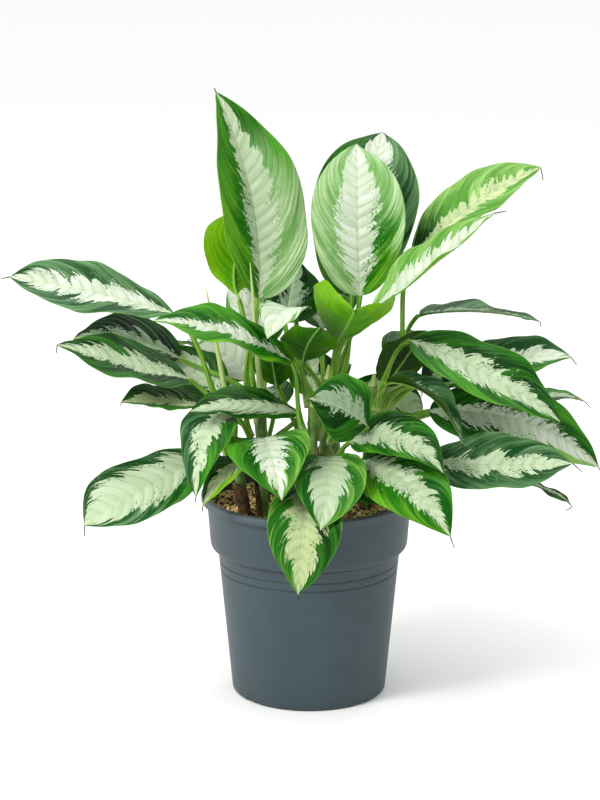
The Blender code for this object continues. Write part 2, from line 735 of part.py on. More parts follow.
def leaf_faces(rings):
    """Triangles between the rings, split from margin to rib alike on the upper side and underside."""
    wide = len(ACROSS)
    ends = [(place, place + 1, RING - 2 - place, RING - 1 - place) for place in range(wide - 1)]
    faces = [face[::-1] for face in ends]
    for row in range(rings - 1):
        low = row * RING
        high = low + RING
        for place in range(RING):
            after = (place + 1) % RING
            if place % wide < wide // 2:
                faces.append((low + place, low + after, high + after))
                faces.append((low + place, high + after, high + place))
            elif place % wide < wide - 1:
                faces.append((low + place, low + after, high + place))
                faces.append((low + after, high + after, high + place))
            else:
                faces.append((low + place, low + after, high + after, high + place))
    last = (rings - 1) * RING
    faces += [tuple(last + place for place in face) for face in ends]
    return faces


def surface_tree(rings):
    """A search tree of the surface over some rings."""
    return BVHTree.FromPolygons([point for ring in rings for point in ring], leaf_faces(len(rings)))


def meetings(shape, stem_surface, obstacles):
    """How often a stalk meets itself, its stem or, with some room around it, anything else."""
    base = [shape.blade_ring(t) for t in BLADE_ROWS[:2]]
    surface = surface_tree(shape.stalk_rings() + base)
    faces = leaf_faces(len(STALK_ROWS) + len(base))
    met = len(surface.overlap(stem_surface))
    met += sum(1 for one, other in surface.overlap(surface) if not set(faces[one]) & set(faces[other]))
    around = surface_tree(shape.stalk_rings(STALK_CLEARANCE) + base[:1])
    return met + sum(len(around.overlap(other)) for other in obstacles)


def route_stalk(shape, height, stem_surface, obstacles):
    """Tries bends and places on the stem until the stalk is clear of every obstacle."""
    fewest = None
    best = None
    for bend in STALK_BENDS:
        for drop in STALK_DROPS:
            for swing in STALK_SWINGS:
                place = (min(TOP_NODE, height - drop), swing, bend, stem_surface)
                shape.place_stalk(*place)
                met = meetings(shape, stem_surface, obstacles)
                if met == 0:
                    return
                if fewest is None or met < fewest:
                    fewest = met
                    best = place
    shape.place_stalk(*best)


def route_stalks(shapes):
    """Routes the stalks stem by stem, the highest blade from the top node."""
    stems = {name: BVHTree.FromPolygons(*stem_mesh(stem)) for name, stem in STEMS.items()}
    blades = {name: surface_tree(shape.blade_rings()) for name, shape in shapes.items()}
    routed = []
    for stem, stem_surface in stems.items():
        other_stems = [tree for name, tree in stems.items() if name != stem]
        names = [name for name, leaf in LEAVES.items() if leaf.stem == stem]
        names.sort(key=lambda name: -LEAVES[name].base[2])
        for place, name in enumerate(names):
            height = TOP_NODE - NODE_SPAN * place / max(1, len(names) - 1)
            obstacles = [tree for other, tree in blades.items() if other != name]
            obstacles += [surface_tree(shapes[name].blade_rings()[1:])] + other_stems + routed
            route_stalk(shapes[name], height, stem_surface, obstacles)
            routed.append(surface_tree(shapes[name].stalk_rings()))


def build_leaf(name, shape):
    """A leaf with its stalk as one piece."""
    rings = shape.stalk_rings() + shape.blade_rings()
    points = [point for ring in rings for point in ring]
    return add_object(f"leaf_{name}", points, leaf_faces(len(rings)), LEAF_GREEN)


def main():
    """Builds the whole plant."""
    clear_scene()
    build_pot()
    build_soil()
    for name, stem in STEMS.items():
        build_stem(name, stem)
    shapes = {name: Shape(name, leaf) for name, leaf in LEAVES.items()}
    route_stalks(shapes)
    for name, shape in shapes.items():
        build_leaf(name, shape)


main()
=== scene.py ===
"""The looks of a potted chinese evergreen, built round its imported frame.

Lengths are millimetres in the tables and metres in the meshes, with +Z up. The origin is the
middle of the pot's underside, and the front of the plant faces -Y.
"""
from __future__ import annotations
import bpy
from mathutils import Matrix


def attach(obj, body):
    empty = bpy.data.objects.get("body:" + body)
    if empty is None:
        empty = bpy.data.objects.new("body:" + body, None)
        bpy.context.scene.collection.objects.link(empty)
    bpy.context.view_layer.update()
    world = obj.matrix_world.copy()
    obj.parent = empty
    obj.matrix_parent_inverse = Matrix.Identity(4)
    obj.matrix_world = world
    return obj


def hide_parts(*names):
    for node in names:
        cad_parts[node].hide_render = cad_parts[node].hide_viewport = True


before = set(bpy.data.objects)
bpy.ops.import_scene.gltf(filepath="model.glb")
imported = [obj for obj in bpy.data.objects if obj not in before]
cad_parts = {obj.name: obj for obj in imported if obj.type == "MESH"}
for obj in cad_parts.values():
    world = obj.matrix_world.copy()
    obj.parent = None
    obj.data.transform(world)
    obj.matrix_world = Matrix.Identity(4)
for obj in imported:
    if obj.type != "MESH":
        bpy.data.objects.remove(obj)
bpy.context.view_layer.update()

import itertools
import logging
import math
import random
from collections.abc import Iterable, Sequence
from dataclasses import dataclass, field
from enum import Enum

import bmesh
import bpy
from mathutils import Quaternion, Vector, noise
from mathutils.bvhtree import BVHTree

LOG = logging.getLogger("evergreen")
Point = tuple[float, float, float]
Pair = tuple[float, float]
Colour = tuple[float, float, float, float]
Socket = bpy.types.NodeSocket
Row = tuple[list[Vector], list[Pair], list[Pair]]
Face = tuple[int, ...]
Shell = tuple[list[Point], list[Face]]

MM = 0.001
GAP = 0.3

POT_HEIGHT = 228.0
LIP_RADIUS = 120.0
LIP_HEIGHT = 9.0
WALL = 2.0
BAND_TOP_RADIUS = 113.5
BAND_FOOT_RADIUS = 110.0
BAND_FOOT = 173.0
STEP_RADIUS = 101.5
STEP_FOOT = 163.5
GROOVES = (152.0, 142.5)
GROOVE_DEPTH = 0.9
GROOVE_HALF = 1.6
BODY_FOOT_RADIUS = 86.5
CORNER = 8.0
FOOT_RING = (71.0, 79.0)
CENTRE_PAD_RADIUS = 22.0
ARCH_HEIGHT = 4.0
ARCH_SLOPE = 2.0
FLOOR_TOP = 6.2
FLOOR_LEVEL = -0.0004

SOIL_TOP = 213.0
SOIL_LUMP = 2.5
SOIL_WAVES = (9.0, 11.0, 7.0)
SOIL_LEVEL_RIM = 104.0
SOIL_RISE = 20.0

STEM_DEPTH = 35.0
STEM_SIDES = 8
SCAR_SPACING = 22.0
SCAR_RISE = 0.7
STEM_TAPER = 0.18
SPEAR_RINGS = ((0.25, 3.4), (0.6, 2.6), (0.88, 1.4), (1.0, 0.5))

TOP_NODE = 0.97
NODE_SPAN = 0.6
STALK_LEAN = 0.5
SEATING_STEPS = 4
STALK_CLEARANCE = 0.4
STALK_SWINGS = (0.0, 30.0, -30.0, 60.0, -60.0, 90.0, -90.0)
STALK_DROPS = (0.0, 0.06, -0.06, 0.12)
STALK_BENDS = ((0.4, 0.3), (0.6, 0.3), (0.25, 0.5), (0.8, 0.2))

STALK_ROWS = (0.0, 0.3, 0.62, 0.9)
STALK_STEP = 0.02
SHEATH_SHARE = 0.4
BLADE_STEP = 0.01
FLAT_HALF = 8.0
WAVES_ALONG = 2.0
WAVE_LAG = 1.3
WAVE_PHASES = 7
BLADE_ROWS = (0.03, 0.13, 0.28, 0.44, 0.6, 0.75, 0.89, 1.0, 2.0)
ACROSS = (1.0, 0.55, 0.0, -0.55, -1.0)
RING = 2 * len(ACROSS)
TIP_POWER = 2.0
SHEATH_HALF = 4.8
STALK_HALF = 2.7
RIB_THICKNESS = 2.8
RIB_TIP_THICKNESS = 1.2
BLADE_THICKNESS = 1.0
EDGE_THICKNESS = 0.7
DRIP_HALF = 0.6
NOD_START = 0.55


class Slot(Enum):
    """The record's material slots."""

    POT = "pot_plastic"
    SOIL = "soil_crumb"
    STEM = "stem_green"
    LEAF = "leaf_green"


def srgb(red: int, green: int, blue: int) -> Colour:
    """Turns a colour of 0 to 255 into Blender's linear one.

    Args:
        red: The red value.
        green: The green value.
        blue: The blue value.

    Returns:
        The colour with its alpha.
    """
    linear = []
    for value in (red, green, blue):
        share = value / 255.0
        linear.append(share / 12.92 if share <= 0.04045 else ((share + 0.055) / 1.055) ** 2.4)
    return (linear[0], linear[1], linear[2], 1.0)


@dataclass(frozen=True)
class Stem:
    """A cane from its foot on the soil to its top node, ending in a pointed new leaf."""

    foot: Pair
    top: Point
    radius: float
    spear: Point


@dataclass(frozen=True)
class Leaf:
    """A leaf on its stem: three points of its midrib and how its blade is held.

    face is the way its upper side looks. fold_left and fold_right raise the two halves, in
    degrees, as seen from above with the tip ahead. curl_left and curl_right bend the margins up
    further, wave is the height of its edge's waves, and
    nod is how far the last part of the midrib bends down behind the blade. widest is where along
    the midrib the left and the right half are broadest. halves are the two halves' shares of an
    even half. A higher shoulder draws the blade's base out. drip is the thin end beyond the tip.
    """

    stem: str
    base: Point
    middle: Point
    tip: Point
    width: float
    face: Point
    fold_left: float = 10.0
    fold_right: float = 10.0
    curl_left: float = 0.0
    curl_right: float = 0.0
    wave: float = 2.5
    nod: float = 0.0
    widest: Pair = (0.42, 0.42)
    halves: Pair = (1.0, 1.0)
    shoulder: float = 0.5
    drip: Point = (0.0, 0.0, -6.0)


STEMS: dict[str, Stem] = {
    "front": Stem((3, -47), (4, -45, 338), 6.5, (4, -42, 352)),
    "front_right": Stem((30, -28), (28, -32, 312), 6.0, (28, -32, 324)),
    "right": Stem((62, -12), (70, -8, 352), 7.0, (72, -8, 366)),
    "left": Stem((-50, -42), (-52, -30, 330), 6.5, (-64, -22, 492)),
    "far_left": Stem((-70, -42), (-86, -30, 318), 6.0, (-112, -14, 461)),
    "rear": Stem((15, 48), (22, 52, 345), 7.0, (22, 54, 360)),
    "rear_right": Stem((68, 42), (82, 46, 335), 7.0, (84, 46, 350)),
    "rear_left": Stem((-48, 38), (-58, 43, 322), 6.5, (-59, 44, 336)),
}

LEAVES: dict[str, Leaf] = {
    "tall_left": Leaf(
        "left", (-55, 8, 446), (-63, 45, 552), (-102, 62, 666), 118, (0.35, -0.85, 0.3), 32, 8,
        widest=(0.42, 0.43), drip=(-2, 1, 4)
    ),
    "behind_tall_left": Leaf(
        "left", (-78, 42, 438), (-82, 74, 474), (-58, 104, 526), 84, (-0.4, 0.8, -0.35), 8, 12,
        widest=(0.6, 0.66), shoulder=2.0, drip=(3, 2, 4)
    ),
    "tall_centre": Leaf(
        "rear", (56, 4, 450), (53, 12, 540), (55, 45, 613), 104, (0.05, -0.95, 0.2), 8, 8,
        nod=45, widest=(0.5, 0.5), drip=(0, 6, -8)
    ),
    "behind_tall_centre": Leaf(
        "rear", (48, 60, 440), (62, 76, 534), (84, 104, 625), 118, (0.0, -0.9, 0.35), 10, 10,
        nod=50, widest=(0.56, 0.56), drip=(0, 6, -8)
    ),
    "upper_right_low": Leaf(
        "front_right", (66, -26, 437), (134, -20, 492), (201, 13, 540), 70, (-0.35, -0.45, 0.8),
        9, 20, curl_right=35, widest=(0.45, 0.45), shoulder=0.8, drip=(14, 2, 2)
    ),
    "upper_right_high": Leaf(
        "rear_right", (114, 30, 490), (187, 55, 544), (257, 75, 580), 70, (-0.4, -0.6, 0.65),
        12, 12, widest=(0.5, 0.45), halves=(1.12, 0.75), shoulder=0.7, drip=(3, 2, -15)
    ),
    "centre_cupped": Leaf(
        "front", (31, -25, 405), (41, -85, 437), (48, -150, 469), 116, (0.05, 0.55, 0.8), 8, 19,
        curl_left=50, curl_right=60, widest=(0.5, 0.5), shoulder=0.36
    ),
    "right_thin": Leaf(
        "rear_right", (123, 45, 420), (190, 55, 421), (259, 60, 408), 64, (0.0, 0.05, 1.0)
    ),
    "right_large": Leaf(
        "right", (110, -40, 410), (193, -65, 377), (270, -80, 330), 82, (0.3, -0.6, 0.75),
        widest=(0.55, 0.42), drip=(2, 0, -4)
    ),
    "right_behind_large": Leaf(
        "rear_right", (155, 15, 348), (227, 22, 372), (290, 15, 378), 78, (0.0, -0.4, 0.9),
        drip=(6, 0, -9)
    ),
    "right_far_thin": Leaf(
        "rear_right", (205, 50, 316), (264, 60, 322), (311, 65, 315), 52, (0.0, 0.0, 1.0),
        drip=(7, 0, -8)
    ),
    "right_wide": Leaf(
        "rear_right", (134, 15, 317), (240, -5, 308), (319, -25, 263), 94, (0.15, -0.75, 0.65),
        halves=(0.82, 1.0), drip=(2, 0, -4)
    ),
    "right_low": Leaf(
        "right", (126, -55, 277), (211, -92, 284), (282, -108, 291), 78, (0.0, -0.6, 0.75),
        drip=(11, 0, -10)
    ),
    "right_under_low": Leaf(
        "right", (180, -10, 250), (252, -30, 243), (290, -38, 221), 40, (0.1, -0.1, 1.0),
        halves=(0.5, 1.0), drip=(-8, -3, -4)
    ),
    "right_folded": Leaf(
        "right", (85, -45, 365), (132, -75, 355), (165, -90, 308), 40, (0.2, -0.3, 0.9), 42, 52
    ),
    "right_inner": Leaf(
        "rear_right", (178, 60, 366), (155, 40, 357), (125, 15, 338), 62, (0.0, -0.5, 0.8),
        shoulder=0.7
    ),
    "right_inner_underside": Leaf(
        "right", (85, 15, 345), (108, 2, 382), (128, -12, 415), 56, (0.1, 0.6, 0.7)
    ),
    "right_inner_pale": Leaf(
        "rear", (42, 74, 323), (96, 74, 316), (129, 74, 300), 50, (0.0, -0.9, 0.45)
    ),
    "low_right_small": Leaf(
        "front_right", (45, -62, 302), (99, -108, 319), (142, -142, 290), 58, (0.1, -0.75, 0.65)
    ),
    "low_right_large": Leaf(
        "front_right", (55, -62, 280), (105, -122, 272), (150, -152, 222), 84, (0.05, -0.8, 0.6),
        drip=(4, -2, -12)
    ),
    "front_hanging": Leaf(
        "front", (-4, -85, 262), (-5, -148, 232), (-12, -150, 157), 81, (0.0, -0.9, 0.45),
        widest=(0.5, 0.5)
    ),
    "front_left": Leaf(
        "left", (-50, -62, 306), (-42, -112, 303), (-29, -160, 265), 92, (0.05, -0.75, 0.65), wave=4
    ),
    "front_right": Leaf(
        "front", (22, -62, 285), (22, -120, 280), (12, -160, 232), 80, (0.0, -0.75, 0.65),
        widest=(0.58, 0.55)
    ),
    "left_drooping": Leaf(
        "far_left", (-82, -52, 330), (-109, -90, 320), (-122, -115, 255), 62, (-0.35, -0.8, 0.45)
    ),
    "left_under": Leaf(
        "left", (-50, -55, 272), (-82, -85, 280), (-115, -110, 243), 58, (-0.1, -0.1, 1.0)
    ),
    "low_left": Leaf(
        "far_left", (-115, -12, 271), (-182, -50, 245), (-245, -75, 211), 78, (-0.25, -0.8, 0.5),
        widest=(0.5, 0.75), drip=(0, -2, -12)
    ),
    "left_middle": Leaf(
        "left", (-10, -45, 330), (-68, -80, 350), (-128, -100, 346), 78, (0.0, -0.25, 1.0), -55, 4,
        curl_left=-45, halves=(0.4, 1.0)
    ),
    "left_behind_middle": Leaf(
        "far_left", (-112, -15, 328), (-158, -20, 337), (-206, -30, 338), 74, (0.0, -0.15, 1.0),
        widest=(0.5, 0.62), drip=(0, 0, -4)
    ),
    "left_long_low": Leaf(
        "far_left", (-134, 5, 356), (-201, -30, 382), (-272, -55, 409), 84, (0.0, -0.4, 0.9),
        widest=(0.5, 0.45), drip=(-1, -2, -9)
    ),
    "left_long_behind": Leaf(
        "rear_left", (-145, 45, 370), (-205, 45, 392), (-262, 40, 393), 78, (0.0, -0.4, 0.9)
    ),
    "left_long_high": Leaf(
        "far_left", (-148, 12, 428), (-234, 5, 453), (-327, 0, 472), 80, (-0.1, -0.5, 0.85),
        widest=(0.66, 0.66), shoulder=0.85, drip=(-9, 0, -2)
    ),
    "centre_left": Leaf(
        "front", (-20, -60, 392), (-92, -95, 434), (-165, -115, 449), 68, (0.0, -0.45, 0.9), wave=4
    ),
    "centre_pale": Leaf(
        "front", (-16, -8, 432), (-28, -55, 447), (-45, -95, 425), 54, (-0.1, -0.5, 0.8)
    ),
    "centre_underside": Leaf(
        "front", (-6, -24, 384), (0, -68, 414), (12, -112, 441), 62, (0.1, 0.6, 0.8)
    ),
    "centre_round": Leaf(
        "front", (-35, 0, 350), (-40, -15, 382), (-45, -25, 415), 46, (0.0, 0.95, 0.3),
        drip=(-1, -3, 3)
    ),
    "centre_twisted": Leaf(
        "front_right", (62, -86, 326), (33, -108, 352), (0, -125, 366), 76, (0.1, -0.85, 0.5),
        5, 34, widest=(0.5, 0.6), shoulder=0.8, drip=(-4, -2, -3)
    ),
    "low_right_inner": Leaf(
        "front_right", (38, -50, 250), (58, -72, 254), (84, -90, 237), 42, (0.0, -0.8, 0.6)
    ),
    "rear_left_pale": Leaf(
        "rear_left", (-70, 72, 338), (-94, 86, 364), (-132, 108, 362), 80, (0.0, -0.8, 0.6)
    ),
    "rear_left_crinkled": Leaf(
        "rear_left", (-95, 25, 330), (-132, 45, 357), (-165, 60, 365), 60, (0.0, -0.7, 0.7), wave=6
    ),
    "rear_upper_dark": Leaf(
        "rear", (-27, 70, 405), (-20, 92, 438), (-13, 115, 467), 76, (0.2, -0.8, 0.6),
        halves=(0.6, 1.0)
    ),
    "rear_upper_pale": Leaf(
        "rear_left", (-45, 75, 378), (-65, 98, 412), (-92, 120, 432), 66, (0.0, -0.8, 0.6)
    ),
    "rear_centre": Leaf("rear", (4, 78, 315), (4, 98, 341), (-3, 125, 366), 56, (0.0, -0.8, 0.6)),
    "rear_reaching": Leaf(
        "rear", (15, 105, 390), (22, 172, 412), (30, 250, 370), 84, (0.0, 0.1, 1.0)
    ),
    "rear_right_reaching": Leaf(
        "rear_right", (100, 112, 345), (140, 170, 360), (182, 225, 328), 86, (0.1, 0.1, 1.0)
    ),
    "rear_left_reaching": Leaf(
        "rear_left", (-72, 115, 340), (-118, 160, 360), (-168, 218, 335), 84, (-0.1, 0.1, 1.0)
    ),
    "rear_tall": Leaf("rear", (40, 95, 430), (52, 132, 500), (52, 198, 545), 88, (0.0, 0.85, -0.4)),
    "rear_low_left": Leaf(
        "rear_left", (-40, 90, 300), (-62, 152, 305), (-82, 215, 255), 80, (-0.1, 0.5, 0.85)
    ),
    "rear_low_right": Leaf(
        "rear_right", (60, 90, 300), (87, 152, 305), (112, 215, 252), 80, (0.1, 0.5, 0.85)
    ),
    "rear_low": Leaf("rear", (10, 110, 308), (10, 162, 330), (5, 228, 298), 80, (0.0, 0.3, 0.95)),
}


@dataclass(frozen=True)
class Tone:
    """Colours of a leaf's green margin: next to its pale band, and out towards its edge."""

    deep: Colour
    light: Colour


class Margin(Enum):
    """The greens that a leaf's margins have. The shade tone is painted shade, and the sage and
    frosted tones are painted sheen for lit margins.
    """

    SHADE = Tone(srgb(4, 34, 6), srgb(24, 78, 14))
    DARK = Tone(srgb(6, 54, 4), srgb(44, 118, 18))
    MID = Tone(srgb(12, 82, 6), srgb(76, 152, 34))
    BRIGHT = Tone(srgb(26, 106, 2), srgb(104, 172, 32))
    # Painted sheen: a pale sage for margins that catch the light.
    SAGE = Tone(srgb(86, 148, 52), srgb(166, 208, 122))
    GREY = Tone(srgb(24, 72, 30), srgb(102, 148, 96))
    YELLOW = Tone(srgb(68, 132, 8), srgb(150, 192, 36))
    # Painted sheen: a frosted pale green for brightly lit margins.
    SHEEN_FROSTED = Tone(srgb(112, 162, 88), srgb(190, 218, 164))
    FRESH = Tone(srgb(26, 100, 14), srgb(126, 184, 72))


class Band(Enum):
    """The colours of a leaf's pale middle. The greyed, muted and buff ones are darker copies,
    painted shade for bands that lie in shadow.
    """

    WHITE = srgb(210, 219, 202)
    PALE = srgb(192, 209, 176)
    CREAM = srgb(202, 215, 162)
    # Painted shade: darker copies of the pale colours, for bands that lie in shadow.
    GREY_IN_SHADE = srgb(152, 176, 146)
    PALE_IN_SHADE = srgb(176, 194, 162)
    CREAM_IN_SHADE = srgb(178, 194, 140)


class Under(Enum):
    """The greens of a leaf's underside."""

    LIT = Tone(srgb(60, 134, 0), srgb(132, 186, 10))
    GREEN = Tone(srgb(24, 84, 2), srgb(78, 140, 18))
    DULL = Tone(srgb(18, 50, 6), srgb(60, 98, 24))


@dataclass(frozen=True)
class LeafLook:
    """How one leaf is coloured.

    left and right are the margins' greens, and tips the greens that take over from the share turn
    of the way to the tip. They are picked side by side as painted light and shade: darker greens
    where a side lies in shadow, paler ones where it is lit. reach is the pale band's half-width on
    either side, as a share of the blade's. band and under are the colours of the band and the
    underside. More flecks are larger green specks in the band.
    """

    left: Margin = Margin.DARK
    right: Margin = Margin.DARK
    reach: Pair = (0.5, 0.5)
    band: Band = Band.PALE
    under: Under = Under.GREEN
    flecks: float = 0.3
    tips: tuple[Margin, Margin] | None = None
    turn: float = 0.34


def stem_line(stem: Stem, below: float = 0.0) -> tuple[Vector, Vector]:
    """Finds the ends of a stem's middle line.

    Args:
        stem: The stem.
        below: How deep under the soil the line starts.

    Returns:
        The lower and the upper end.
    """
    foot = Vector((*stem.foot, SOIL_TOP))
    top = Vector(stem.top)
    along = (top - foot).normalized()
    return foot - along * below, top


def band_faces(rings: int, sides: int) -> list[Face]:
    """Lists the four-sided faces between the rings of a tube.

    Args:
        rings: How many rings there are.
        sides: The points of a ring.

    Returns:
        The faces.
    """
    faces = []
    for low in range(0, (rings - 1) * sides, sides):
        for side in range(sides):
            after = (side + 1) % sides
            faces.append((low + side, low + after, low + sides + after, low + sides + side))
    return faces


def capped_faces(rings: int, sides: int) -> list[Face]:
    """Lists the faces of a tube with a lid on each end.

    Args:
        rings: How many rings there are.
        sides: The points of a ring.

    Returns:
        The faces, with the lower lid first and the upper one last.
    """
    count = rings * sides
    lids = [tuple(reversed(range(sides))), tuple(range(count - sides, count))]
    return [lids[0], *band_faces(rings, sides), lids[1]]


def tube(centres: Sequence[Vector], radii: Sequence[float], sides: int) -> Shell:
    """Makes a closed tube, its rings level with the ground.

    Args:
        centres: The rings' centres.
        radii: The rings' radii.
        sides: The points of a ring.

    Returns:
        The points and the faces.
    """
    points = []
    for centre, radius in zip(centres, radii):
        for side in range(sides):
            turn = math.tau * side / sides
            x = centre[0] + radius * math.cos(turn)
            y = centre[1] + radius * math.sin(turn)
            points.append((x, y, centre[2]))
    return points, capped_faces(len(centres), sides)


def scar_rings(start: Vector, top: Vector) -> int:
    """Counts the rings of a cane, every other one a scar.

    Args:
        start: The cane's lower end.
        top: Its upper end.

    Returns:
        The number, always even.
    """
    return 2 * max(2, round((top - start).length / SCAR_SPACING / 2.0))


def stem_mesh(stem: Stem) -> Shell:
    """Makes the plain cane that the stalks are routed round.

    Args:
        stem: The stem.

    Returns:
        The points and the faces.
    """
    start, top = stem_line(stem, STEM_DEPTH)
    count = scar_rings(start, top)
    centres, radii = [], []
    for ring in range(count + 1):
        share = ring / count
        centres.append(start.lerp(top, share))
        radii.append(stem.radius * (1.0 - STEM_TAPER * share) + (SCAR_RISE if ring % 2 else 0.0))
    spear = Vector(stem.spear)
    for share, radius in SPEAR_RINGS:
        centres.append(top.lerp(spear, share))
        radii.append(radius)
    return tube(centres, radii, STEM_SIDES)


def bezier(start: Vector, handle: Vector, other_handle: Vector, end: Vector, t: float) -> Vector:
    """Finds a point on a cubic curve.

    Args:
        start: Where the curve starts.
        handle: The first handle.
        other_handle: The second handle.
        end: Where the curve ends.
        t: The share of the way along.

    Returns:
        The point.
    """
    s = 1.0 - t
    return start * s**3 + handle * (3 * s * s * t) + other_handle * (3 * s * t * t) + end * t**3


def outline(t: float, widest: float, shoulder: float) -> float:
    """Gives the blade's half-width: round at the base, drawn out at the tip.

    Args:
        t: The share of the way along the blade.
        widest: Where the blade is broadest.
        shoulder: How far the base is drawn out.

    Returns:
        The share of the full half-width.
    """
    if t < widest:
        away = (widest - t) / widest
        return (1.0 - away * away) ** shoulder
    away = min(1.0, (t - widest) / (1.0 - widest))
    return 1.0 - away**TIP_POWER


class LeafShape:
    """Works out the points of one leaf."""

    def __init__(self, name: str, leaf: Leaf) -> None:
        """Takes the leaf; its stalk is placed afterwards.

        Args:
            name: The leaf's name, which sets where its waves start.
            leaf: The leaf's sizes.
        """
        self.leaf = leaf
        self.base = Vector(leaf.base)
        self.tip = Vector(leaf.tip)
        self.control = 2.0 * Vector(leaf.middle) - (self.base + self.tip) / 2.0
        self.phase = sum(ord(letter) for letter in name) % WAVE_PHASES

    def place_stalk(
        self, height: float, swing: float, bend: Pair, stem_surface: BVHTree
    ) -> None:
        """Sets where the stalk leaves its stem, and slides its foot until it is the gap away.

        Args:
            height: The share of the way up the stem.
            swing: Degrees to one side of the way to the blade.
            bend: How far the two handles reach.
            stem_surface: The stem's search tree.
        """
        stem = STEMS[self.leaf.stem]
        foot, top = stem_line(stem)
        axis = foot.lerp(top, height)
        bearing = math.atan2(self.base.y - axis.y, self.base.x - axis.x) + math.radians(swing)
        self.outward = Vector((math.cos(bearing), math.sin(bearing), 0.0))
        reach = stem.radius + SCAR_RISE + GAP + SHEATH_HALF
        for _ in range(SEATING_STEPS):
            self.bend_stalk(axis + self.outward * reach, bend)
            foot_points = self.stalk_ring(STALK_ROWS[0]) + self.stalk_ring(STALK_ROWS[1])
            reach -= min(stem_surface.find_nearest(point)[3] for point in foot_points) - GAP

    def bend_stalk(self, start: Vector, bend: Pair) -> None:
        """Draws the stalk's curve from its foot to the blade.

        Args:
            start: The stalk's foot.
            bend: How far the two handles reach.
        """
        self.start = start
        to_base = self.base - start
        lean = (self.outward * STALK_LEAN + Vector((0.0, 0.0, 1.0))).normalized()
        along_blade = (self.control - self.base).normalized()
        arrive = (along_blade + to_base.normalized()).normalized()
        self.handle = start + lean * (to_base.length * bend[0])
        self.other_handle = self.base - arrive * (to_base.length * bend[1])

    def stalk_point(self, t: float) -> Vector:
        """Gives the point at the share t of the stalk."""
        return bezier(self.start, self.handle, self.other_handle, self.base, t)

    def rib_point(self, t: float) -> Vector:
        """Gives a point on the midrib, or beyond t = 1 on the drip.

        Args:
            t: The share of the way along.

        Returns:
            The point.
        """
        if t > 1.0:
            return self.rib_point(1.0) + Vector(self.leaf.drip) * (t - 1.0)
        s = 1.0 - t
        nodding = self.leaf.nod * (max(0.0, t - NOD_START) / (1.0 - NOD_START)) ** 2
        on_curve = self.base * (s * s) + self.control * (2.0 * s * t) + self.tip * (t * t)
        return on_curve - Vector(self.leaf.face).normalized() * nodding

    def sides(self, before: Vector, after: Vector) -> tuple[Vector, Vector]:
        """Finds the left-hand and upward directions across the line through two points.

        Args:
            before: The first point.
            after: The second point.

        Returns:
            The two directions.
        """
        along = (after - before).normalized()
        face = Vector(self.leaf.face)
        up = (face - along * face.dot(along)).normalized()
        return up.cross(along), up

    def blade_sides(self, t: float) -> tuple[Vector, Vector]:
        """Finds the blade's left-hand and upward directions, turned into the drip beyond its tip.

        Args:
            t: The share of the way along.

        Returns:
            The two directions.
        """
        before = self.rib_point(min(t, 1.0) - BLADE_STEP)
        after = self.rib_point(min(t, 1.0))
        left, up = self.sides(before, after)
        if t >= 1.0:
            share = 1.0 if t > 1.0 else 0.5
            into_drip = (after - before).rotation_difference(Vector(self.leaf.drip))
            turn = Quaternion().slerp(into_drip, share)
            left, up = turn @ left, turn @ up
        return left, up

    def stalk_sides(self, t: float) -> tuple[Vector, Vector]:
        """Finds the stalk's left-hand and upward directions, carried down from the blade.

        Args:
            t: The share of the way along.

        Returns:
            The two directions.
        """
        along = self.stalk_point(t + STALK_STEP) - self.stalk_point(t - STALK_STEP)
        turn = (self.rib_point(BLADE_STEP) - self.base).rotation_difference(along)
        left, up = self.sides(self.base, self.rib_point(BLADE_STEP))
        return turn @ left, turn @ up

    def stalk_half(self, t: float) -> float:
        """Gives the stalk's radius at the share t of its length."""
        return SHEATH_HALF + (STALK_HALF - SHEATH_HALF) * min(1.0, t / SHEATH_SHARE)

    def stalk_ring(self, t: float, extra: float = 0.0) -> list[Vector]:
        """Makes a ring of the plain stalk.

        Args:
            t: The share of the way along.
            extra: Room added to the radius.

        Returns:
            The ring's points.
        """
        left, up = self.stalk_sides(t)
        half = self.stalk_half(t) + extra
        centre = self.stalk_point(t)
        ring = []
        for place in range(RING):
            turn = math.tau * (place + 0.5) / RING
            ring.append(centre + left * (half * math.cos(turn)) + up * (half * math.sin(turn)))
        return ring

    def section(self, t: float, across: float) -> tuple[float, float, float]:
        """Works out the blade's middle surface.

        Args:
            t: The share of the way along.
            across: From 1 at the left margin to -1 at the right one.

        Returns:
            The sideways and upward offsets, and the slope.
        """
        leaf = self.leaf
        on_left = across > 0.0
        sign = 1.0 if on_left else -1.0
        place = 0 if on_left else 1
        broad = leaf.halves[place] * leaf.width / 2.0
        half = max(DRIP_HALF, broad * outline(t, leaf.widest[place], leaf.shoulder))
        ease = min(1.0, half / FLAT_HALF)
        fold = math.radians(leaf.fold_left if on_left else leaf.fold_right) * ease
        curl = math.radians(leaf.curl_left if on_left else leaf.curl_right) * ease * abs(across)
        slope = fold + curl / 2.0
        reach = half * abs(across)
        ripple = leaf.wave * across * across * math.sin(math.pi * min(1.0, t))
        lag = WAVE_LAG if on_left else 0.0
        ripple *= math.sin(math.tau * WAVES_ALONG * t + self.phase + lag)
        rise = reach * math.sin(slope) + ripple
        return sign * reach * math.cos(slope), rise, sign * (fold + curl)

